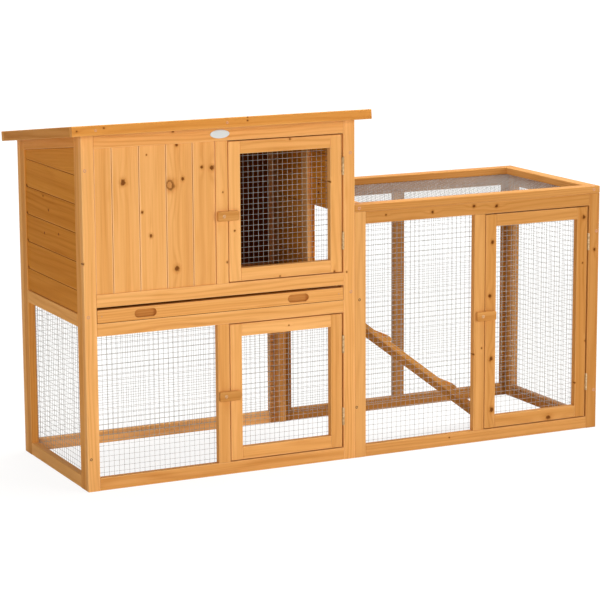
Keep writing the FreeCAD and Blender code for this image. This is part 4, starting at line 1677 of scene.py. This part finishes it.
@dataclass
class Hinges(Assembly):
    """All the butt hinges, each with two fixed knuckles, one moving knuckle and a pin.

    Args:
        fixed: The fixed leaves, as they are made.
        pins: The pins, as they are made.
    """

    tall: float = 42.0
    leaf_wide: float = 16.0
    leaf_thick: float = 1.2
    leaf_edge: float = 0.25
    barrel: float = 2.25
    barrel_soft: float = 0.25
    barrel_sides: int = 24
    pin: float = 1.0
    clear: float = 0.3
    gap: float = 0.3
    head: float = 1.8
    head_thick: float = 1.0
    head_soft: float = 0.1
    head_round: float = 0.3
    dome_shares: Span = (0.8, 0.35)
    pin_tip: float = 0.3
    root_share: float = 0.3
    root_lap: float = 0.2
    roof_inset: float = 150.0
    fixed: list[Form] = field(default_factory=list)
    pins: list[Form] = field(default_factory=list)

    def _knuckle(self, low: float, high: float) -> Form:
        """A short tube with softened rims, round the Z axis: outer wall, rims and bore."""
        bore, soft, barrel = self.pin + self.clear, self.barrel_soft, self.barrel
        half = [(low, bore), (low, barrel - soft), (low + soft, barrel)]
        mirrored = [(low + high - along, radius) for along, radius in reversed(half)]
        return lathe(half + mirrored, self.barrel_sides, Along.Z, capped=False)

    def _leaf(self, side: float, knuckles: Sequence[Span]) -> list[Form]:
        """A leaf with its knuckles: side is 1 or -1, the face of the gap that it lies on."""
        x = tuple(sorted((side * self.barrel, side * (self.barrel - self.leaf_thick))))
        neck, half, cut = self.barrel + self.clear, self.tall / 2, self.shop.yard.cut
        forms = [cut(beam(x, (neck, self.leaf_wide), (-half, half), edge=self.leaf_edge))]
        for span in knuckles:
            y = (self.barrel * self.root_share, neck + self.root_lap)
            root = beam(x, y, span, edge=self.leaf_edge)
            forms += [self._knuckle(*span), cut(root)]
        return forms

    def _pin(self) -> Form:
        """The pin with its domed head."""
        half = self.tall / 2
        top = half + self.head_thick
        profile = [
            (-half, self.pin_tip),
            (-half, self.pin),
            (half, self.pin),
            (half, self.head - self.head_soft),
            (half + self.head_round, self.head),
            (top - self.head_round, self.head * self.dome_shares[0]),
            (top, self.head * self.dome_shares[1]),
        ]
        return lathe(profile, self.barrel_sides, Along.Z)

    def _placed(self, forms: Sequence[Form], origin: Array, x_axis: Array, y_axis: Array) -> Form:
        """Copies forms, with their X and Y axes turned to two directions."""
        turn = np.stack([x_axis, y_axis, np.cross(x_axis, y_axis)])
        copies = [Form(form.points, form.faces, smooth=form.smooth) for form in forms]
        whole = joined(copies).placed()
        return Form(whole.points @ turn + origin, whole.faces, whole.values, whole.smooth)

    def build(self, doors: Sequence[Door], roof: Roof) -> None:
        """Builds the leaves on each door and on the roof, the fixed leaves and the pins.

        Args:
            doors: The doors that hang on them.
            roof: The roof that hangs on two of them.
        """
        half, third = self.tall / 2, self.tall / 6
        held = self._leaf(1.0, [(-half, -third), (third, half)])
        hung = self._leaf(-1.0, [(-third + self.gap, third - self.gap)])
        pin = [self._pin()]
        right, back, up = np.eye(3)
        sine, cosine = math.sin(SIZES.fall), math.cos(SIZES.fall)
        down = np.array([0.0, cosine, -sine])
        square = np.cross(right, down)

        def hang(
            body: str, origins: Sequence[Array], axes: Sequence[Array], moving: Sequence[Array]
        ) -> None:
            """Adds hinges, with the X and Y axes of their fixed and their moving leaves."""
            self.fixed += [self._placed(held, origin, *axes) for origin in origins]
            self.pins += [self._placed(pin, origin, *axes) for origin in origins]
            leaves = [self._placed(hung, origin, *moving) for origin in origins]
            self._metal(f"{body}_hinge_leaves", leaves, body)

        for door in doors:
            reach = door.end_gap + door.hinge_inset
            corner = np.array([door.bay_x[1] - self.barrel, -self.barrel, 0.0])
            levels = (door.bay_z[0] + reach, door.bay_z[1] - reach)
            hang(door.body, [corner + level * up for level in levels], (right, back), (right, back))
        below = -roof.trim_drop - self.barrel
        along = (SIZES.hutch_deep + self.barrel - below * sine) / cosine
        axis = SIZES.wall_high * up + down * along + square * below
        places = (self.roof_inset, SIZES.hutch_wide - self.roof_inset)
        hang(roof.body, [axis + right * x for x in places], (-back, -up), (-square, down))
        self._metal("fixed_hinge_leaves", self.fixed, self.body)
        self._metal("hinge_pins", self.pins, self.body)

    def _metal(self, node: str, forms: list[Form], body: str) -> None:
        """Puts one node's metal in the scene."""
        finish = self.shop.finishes.hinge
        self.shop.piece(f"{node}_zinc", forms, finish, body, "hinge_steel", [node])


@dataclass
class TurnButton(Assembly):
    """A wooden turn button with rounded corners, turned on a pan-headed screw.

    Args:
        node: The node's name.
        pivot: Where its screw is, across and up.
    """

    node: str
    pivot: Span
    long: float = 54.0
    wide: float = 23.0
    thick: float = 8.0
    inset: float = 16.0
    gap: float = 0.3
    hole: float = 2.3
    edge: float = 1.4
    back_edge: float = 0.6
    corner: float = 4.0
    sides: int = 96

    def build(self) -> None:
        """Builds the button.

        Its outline is a small circle whose quarters are moved out to the four corners of a
        rectangle. Rings of that outline run up the back, over the rounded front edge and in to the
        screw's hole, and the last ring joins the first.
        """
        turn = circle(self.sides)
        straight = np.array([self.long, self.wide]) / 2 - self.corner
        middle = np.array([self.long / 2 - self.inset, 0.0])
        normal = np.stack([np.cos(turn), np.sin(turn)], axis=1)
        outline = self.corner * normal + straight * np.sign(normal.round(9)) + middle
        bore = outline / np.linalg.norm(outline, axis=1, keepdims=True) * self.hole
        back, front = -self.gap, -self.gap - self.thick
        soft = self.back_edge
        profile = [(bore, back), (outline - normal * soft, back), (outline, back - soft)]
        for bend in np.radians([0.0, 30.0, 60.0, 90.0]):
            inset, rise = self.edge * (1 - math.cos(bend)), self.edge * (1 - math.sin(bend))
            profile.append((outline - normal * inset, front + rise))
        profile.append((bore, front))
        stack = np.empty((len(profile), self.sides, 3))
        stack[..., [0, 2]] = np.array([flat for flat, _ in profile]) + self.pivot
        stack[..., 1] = np.array([[depth] for _, depth in profile])
        form = rings(stack, smooth=False, capped=False)
        local = form.points[:, [0, 2, 1]] - [*(middle + self.pivot), -self.thick / 2]
        size = Timber((0.0, 0.0, 0.0), (self.long, self.thick, self.wide), Along.X)
        form.values = self.shop.yard.grain_values(size, local, self.wide)
        finish = self.shop.finishes.button
        self.shop.piece(f"{self.node}_pine", [form], finish, self.body, "frame_timber", [self.node])


@dataclass
class Fixings(Assembly):
    """The screws of the frames, the pivot screws, dark heads that paint the shade of deep screw
    holes, the tray's nails and the oval plate.
    """

    button_front: float = -8.6
    pan_radius: float = 4.2
    pan_high: float = 2.3
    pan_recess: float = 1.5
    shank: ClassVar[tuple[Span, ...]] = ((0.0, 0.5), (0.0, 2.0), (18.0, 2.0), (22.0, 0.6))
    front_screws: ClassVar[tuple[Span, ...]] = (
        (8.0, 746.0),
        (9.0, 410.0),
        (678.0, 747.0),
        (679.5, 412.0),
        (SIZES.run_right - 8.0, 507.0),
        (SIZES.run_right - 8.0, 98.0),
        (702.0, 611.8),
        (SIZES.run_right - 17.0, 612.6),
    )
    screw_holes_painted_shade: ClassVar[tuple[Span, ...]] = ((8.5, 77.0), (702.5, 390.0), (694.5, 126.0))
    sunk_radius: float = 3.4
    flush_proud: float = 0.2
    back_screws: ClassVar[tuple[Span, ...]] = (
        *((12.0, z) for z in (700.0, 396.0, 60.0)),
        *((678.0, z) for z in (700.0, 60.0)),
        *((702.0, z) for z in (500.0, 60.0)),
        *((SIZES.run_right - 8.0, z) for z in (507.0, 98.0)),
    )
    lid_screws: ClassVar[Point] = (712.0, 1035.0, SIZES.run_right - 12.0)
    lid_inset: float = 12.0
    nails: ClassVar[Span] = (42.2, 647.4)
    nail_level: float = 409.5
    nail_radius: float = 1.6
    nail_sides: int = 16
    shank_sides: int = 16
    pan_sides: int = 32
    plate_sides: int = 64
    roof_screws: ClassVar[Span] = (26.0, 348.0)
    roof_end_down: float = 15.0
    roof_end_drop: float = 3.0
    roof_end_sunk: float = 0.4
    roof_head: float = 3.0
    plate_centre: Point = (340.7, 0.0, 810.6)
    plate_half: Point = (24.2, 1.0, 10.0)
    plate_profile: ClassVar[tuple[Span, ...]] = (
        (0.0, 1.0),
        (-0.7, 1.0),
        (-1.0, 0.985),
        (-1.15, 0.95),
        (-1.05, 0.9),
        (-1.0, 0.86),
        (-1.0, 0.4),
    )

    def build(self, buttons: Sequence[TurnButton]) -> None:
        """Builds them all.

        Args:
            buttons: The turn buttons whose screws are needed.
        """
        finishes = self.shop.finishes
        pivots = []
        pan = {"radius": self.pan_radius, "proud": self.pan_high, "recess": self.pan_recess}
        pan |= {"sunk": 0.0, "sides": self.pan_sides}
        for button in buttons:
            centre = (button.pivot[0], self.button_front, button.pivot[1])
            pivots.append(Screw(centre, **pan).form())
            pivots.append(lathe(self.shank, self.shank_sides, Along.Y, centre))
        self._metal("button_screws_zinc", pivots, self.body, finishes.pivot, ["button_screws"])
        # Dark heads, flush with the wood, paint the shade in deep screw holes.
        flush = {"radius": self.sunk_radius, "proud": self.flush_proud}
        sunk = [Screw((x, 0.0, z), **flush).form() for x, z in self.screw_holes_painted_shade]
        self._metal("screw_holes_painted_shade", sunk, self.body, finishes.sunk)
        back, top = SIZES.hutch_deep, SIZES.run_high + SIZES.member_thick
        depths = (self.lid_inset, back - self.lid_inset)
        forms = [Screw((x, 0.0, z)).form() for x, z in self.front_screws]
        forms += [Screw((x, back, z), Along.Y, 1.0).form() for x, z in self.back_screws]
        forms += [Screw((x, y, top), Along.Z, 1.0).form() for x in self.lid_screws for y in depths]
        self._metal("frame_screws", forms, self.body, finishes.screw)
        nail = {"radius": self.nail_radius, "proud": self.flush_proud}
        nail |= {"sides": self.nail_sides, "recess": 0.0}
        nails = [Screw((x, Tray.recess, self.nail_level), **nail).form() for x in self.nails]
        self._metal("tray_front_nails", nails, "tray", finishes.screw)
        self._in_the_roof()
        plate = lathe(self.plate_profile, self.plate_sides, Along.Y)
        plate.points = plate.points * self.plate_half + self.plate_centre
        plate.placed()
        self.shop.piece("top_rail_plate", [plate], finishes.plate, self.body, "hinge_steel")

    def _metal(
        self,
        name: str,
        forms: list[Form],
        body: str,
        finish: bpy.types.Material,
        nodes: Sequence[str] = (),
    ) -> None:
        """Puts screws or nails in the scene."""
        self.shop.piece(name, forms, finish, body, "screw_steel", nodes)

    def _in_the_roof(self) -> None:
        """Builds the countersunk heads in the roof's trim."""
        middle = Roof.trim_high / 2 - Roof.trim_drop
        head = {"radius": self.roof_head}
        forms = [Screw((x, -Roof.front_reach, middle), **head).form() for x in self.roof_screws]
        left, right = self.roof_end_sunk - Roof.side_reach, SIZES.hutch_wide + Roof.side_reach
        for x, way in ((left, -1.0), (right, 1.0)):
            centre = (x, self.roof_end_down, middle - self.roof_end_drop)
            forms.append(Screw(centre, Along.X, way, **head).form())
        for form in forms:
            form.points = on_roof(form.points)
        self._metal("roof_screws", forms, "roof", self.shop.finishes.screw)


# ---------------------------------------------------------------- studio


@dataclass
class Studio:
    """The floor, the light and the camera.

    Args:
        shift: Where the hutch's own frame lies in the model's frame, in metres.
    """

    shift: Array
    camera_at: Point = (-1858.171, -4958.262, 1461.519)
    yaw: float = 0.4511
    pitch: float = 0.1897
    roll: float = -0.0055
    focal_pixels: float = 2367.319
    frame_pixels: float = 600.0
    sensor: float = 36.0
    view_end: float = 400.0
    room_tint: tuple[float, ...] = (1.0, 0.88, 0.6, 1.0)
    room_level: float = 0.15
    floor_half: float = 90.0
    floor_grey: tuple[float, ...] = (0.8, 0.8, 0.8, 1.0)
    floor_glow: float = 0.8
    floor_strength: float = 1.13
    floor_fade: Span = (1.2, 3.6)
    aim_high: float = 0.4

    def build(self) -> None:
        """Sets up the picture."""
        bpy.context.scene.view_settings.view_transform = "Standard"
        self._camera()
        self._world()
        self._floor()
        self._lamps()

    def _put(
        self, name: str, data: bpy.types.ID, place: Array, *turns: tuple[float, str]
    ) -> bpy.types.Object:
        """Puts something in the scene, turned about its own axes one after another."""
        made = bpy.data.objects.new(name, data)
        made.matrix_world = Matrix.Translation(place.tolist())
        for angle, axis in turns:
            made.matrix_world = made.matrix_world @ Matrix.Rotation(angle, 4, axis)
        bpy.context.scene.collection.objects.link(made)
        return made

    def _camera(self) -> None:
        """Places the camera where the photograph was taken from."""
        data = bpy.data.cameras.new("camera")
        data.sensor_width = self.sensor
        data.lens = self.focal_pixels * self.sensor / self.frame_pixels
        data.clip_end = self.view_end
        place = np.array(self.camera_at) / METRE + self.shift
        turns = ((-self.yaw, "Z"), (math.pi / 2 - self.pitch, "X"), (self.roll, "Z"))
        bpy.context.scene.camera = self._put("camera", data, place, *turns)

    def _world(self) -> None:
        """A pale room that shows white behind the object."""
        world = bpy.data.worlds.new("room")
        board = Board(world, "ShaderNodeOutputWorld")
        room, shown = (
            board.node("ShaderNodeBackground", {}, {"Color": tint, "Strength": strength})
            for tint, strength in ((self.room_tint, self.room_level), (WHITE, 1.0))
        )
        board.shown_as(board.seen(), room, shown)
        bpy.context.scene.world = world

    def _floor(self) -> None:
        """A white floor that keeps a soft shadow near the object and is plain white far from it.

        The share of its own light goes from the floor's glow near the object to the whole far away.
        """
        mesh = bpy.data.meshes.new("floor")
        corners = np.array([[-1, -1, 0], [1, -1, 0], [1, 1, 0], [-1, 1, 0]]) * self.floor_half
        mesh.from_pydata(corners.tolist(), [], [[0, 1, 2, 3]])
        board = MaterialBoard("studio_floor")
        board.set(Base_Color=self.floor_grey, Roughness=0.9, Specular_IOR_Level=0.1)
        light = {"Color": WHITE, "Strength": self.floor_strength}
        glow = board.node("ShaderNodeEmission", {}, light)
        across, back, _ = board.split(board.place())
        far = across.length_with(back).eased(*self.floor_fade)
        share = board.seen() * (far * (1.0 - self.floor_glow) + self.floor_glow)
        board.shown_as(share, board.shader, glow)
        mesh.materials.append(board.material)
        self._put("floor", mesh, np.zeros(3))

    def _lamps(self) -> None:
        """A broad key light from the front right, a weaker one from the left and one above."""
        lamps = (
            ("key", (3.9, -5.9, 2.1), 3.2, 202.0, (1.0, 0.975, 0.95)),
            ("fill", (-4.4, -5.0, 1.7), 2.6, 163.0, (1.0, 0.945, 0.84)),
            ("top", (0.3, 0.2, 3.4), 2.4, 125.0, (1.0, 0.99, 0.98)),
        )
        for name, place, size, power, tint in lamps:
            data = bpy.data.lights.new(name, "AREA")
            data.shape, data.size, data.energy, data.color = "DISK", size, power, tint
            across, back, up = np.array(place) - [0.0, 0.0, self.aim_high]
            yaw, tilt = math.atan2(across, -back), math.atan2(math.hypot(across, back), up)
            self._put(name, data, np.array(place), (yaw, "Z"), (tilt, "X"))


# ---------------------------------------------------------------- building it all


def all_doors(shop: Workshop) -> list[Door]:
    """The three doors with the knots that they show."""
    wide, tray = SIZES.member_wide, SIZES.tray_level
    bay_x = ((SIZES.hutch_wide + wide) / 2, SIZES.hutch_wide - wide)
    run_x = (SIZES.hutch_wide + (SIZES.run_wide + wide) / 2, SIZES.run_right - wide)
    upper_z = (tray + SIZES.tray_gap_high + wide, SIZES.wall_high - SIZES.top_rail_wide)
    upper_marks = (
        (Knot(120, 14, 2.2),),
        (Knot(2, 10, 2.8), Knot(218, 0, 2.0)),
        (Knot(100, 3, 2.2),),
        (Knot(128, 27, 2.4),),
    )
    lower_marks = ((), (), (), (Knot(122, 15, 1.8),))
    run_marks = (
        (Knot(469, 18, 4.3), Knot(335, 12, 4.3), Knot(176, 17, 5.4), Knot(46, 20, 5.4)),
        (Knot(512, 19, 4.4), Knot(396, 17, 2.2), Knot(195, 29, 2.8), Knot(89, 1, 1.8)),
        (Knot(156, 8, 5.6),),
        (),
    )
    lower_z, run_z = (wide, tray - wide), (wide, SIZES.run_high - wide)
    run_pine = shop.finishes.run_frame
    rows = (
        ("upper_door", bay_x, upper_z, upper_marks, (1.0, 0.7, 0.2, -0.2)),
        ("lower_door", bay_x, lower_z, lower_marks, (0.2, -1.9, 0.5, 0.6)),
        ("run_door", run_x, run_z, run_marks, (0.5, -0.4, 0.4, -0.1), run_pine, 89.0),
    )
    return [Door(shop, *row) for row in rows]


def main() -> None:
    """Builds the hutch, the run and the studio."""
    logging.basicConfig(level=logging.INFO, format="%(name)s: %(message)s")
    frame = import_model()
    shop = Workshop()
    Studio(shop.shift).build()
    HutchFrame(shop, "frame").build()
    Tray(shop, "tray").build(frame)
    roof = Roof(shop, "roof")
    roof.build()
    doors = all_doors(shop)
    for door in doors:
        door.build()
    Run(shop, "frame").build()
    Ramp(shop, "frame").build()
    Hinges(shop, "frame").build(doors, roof)
    pivots = {"upper": (346.5, 619.0), "lower": (346.5, 191.0), "run": (1041.0, 319.0)}
    buttons = [
        TurnButton(shop, f"{place}_button", f"{place}_turn_button", pivot)
        for place, pivot in pivots.items()
    ]
    for button in buttons:
        button.build()
    Fixings(shop, "frame").build(buttons)
    log.info("%d pieces", shop.count)


if __name__ == "__main__":
    main()
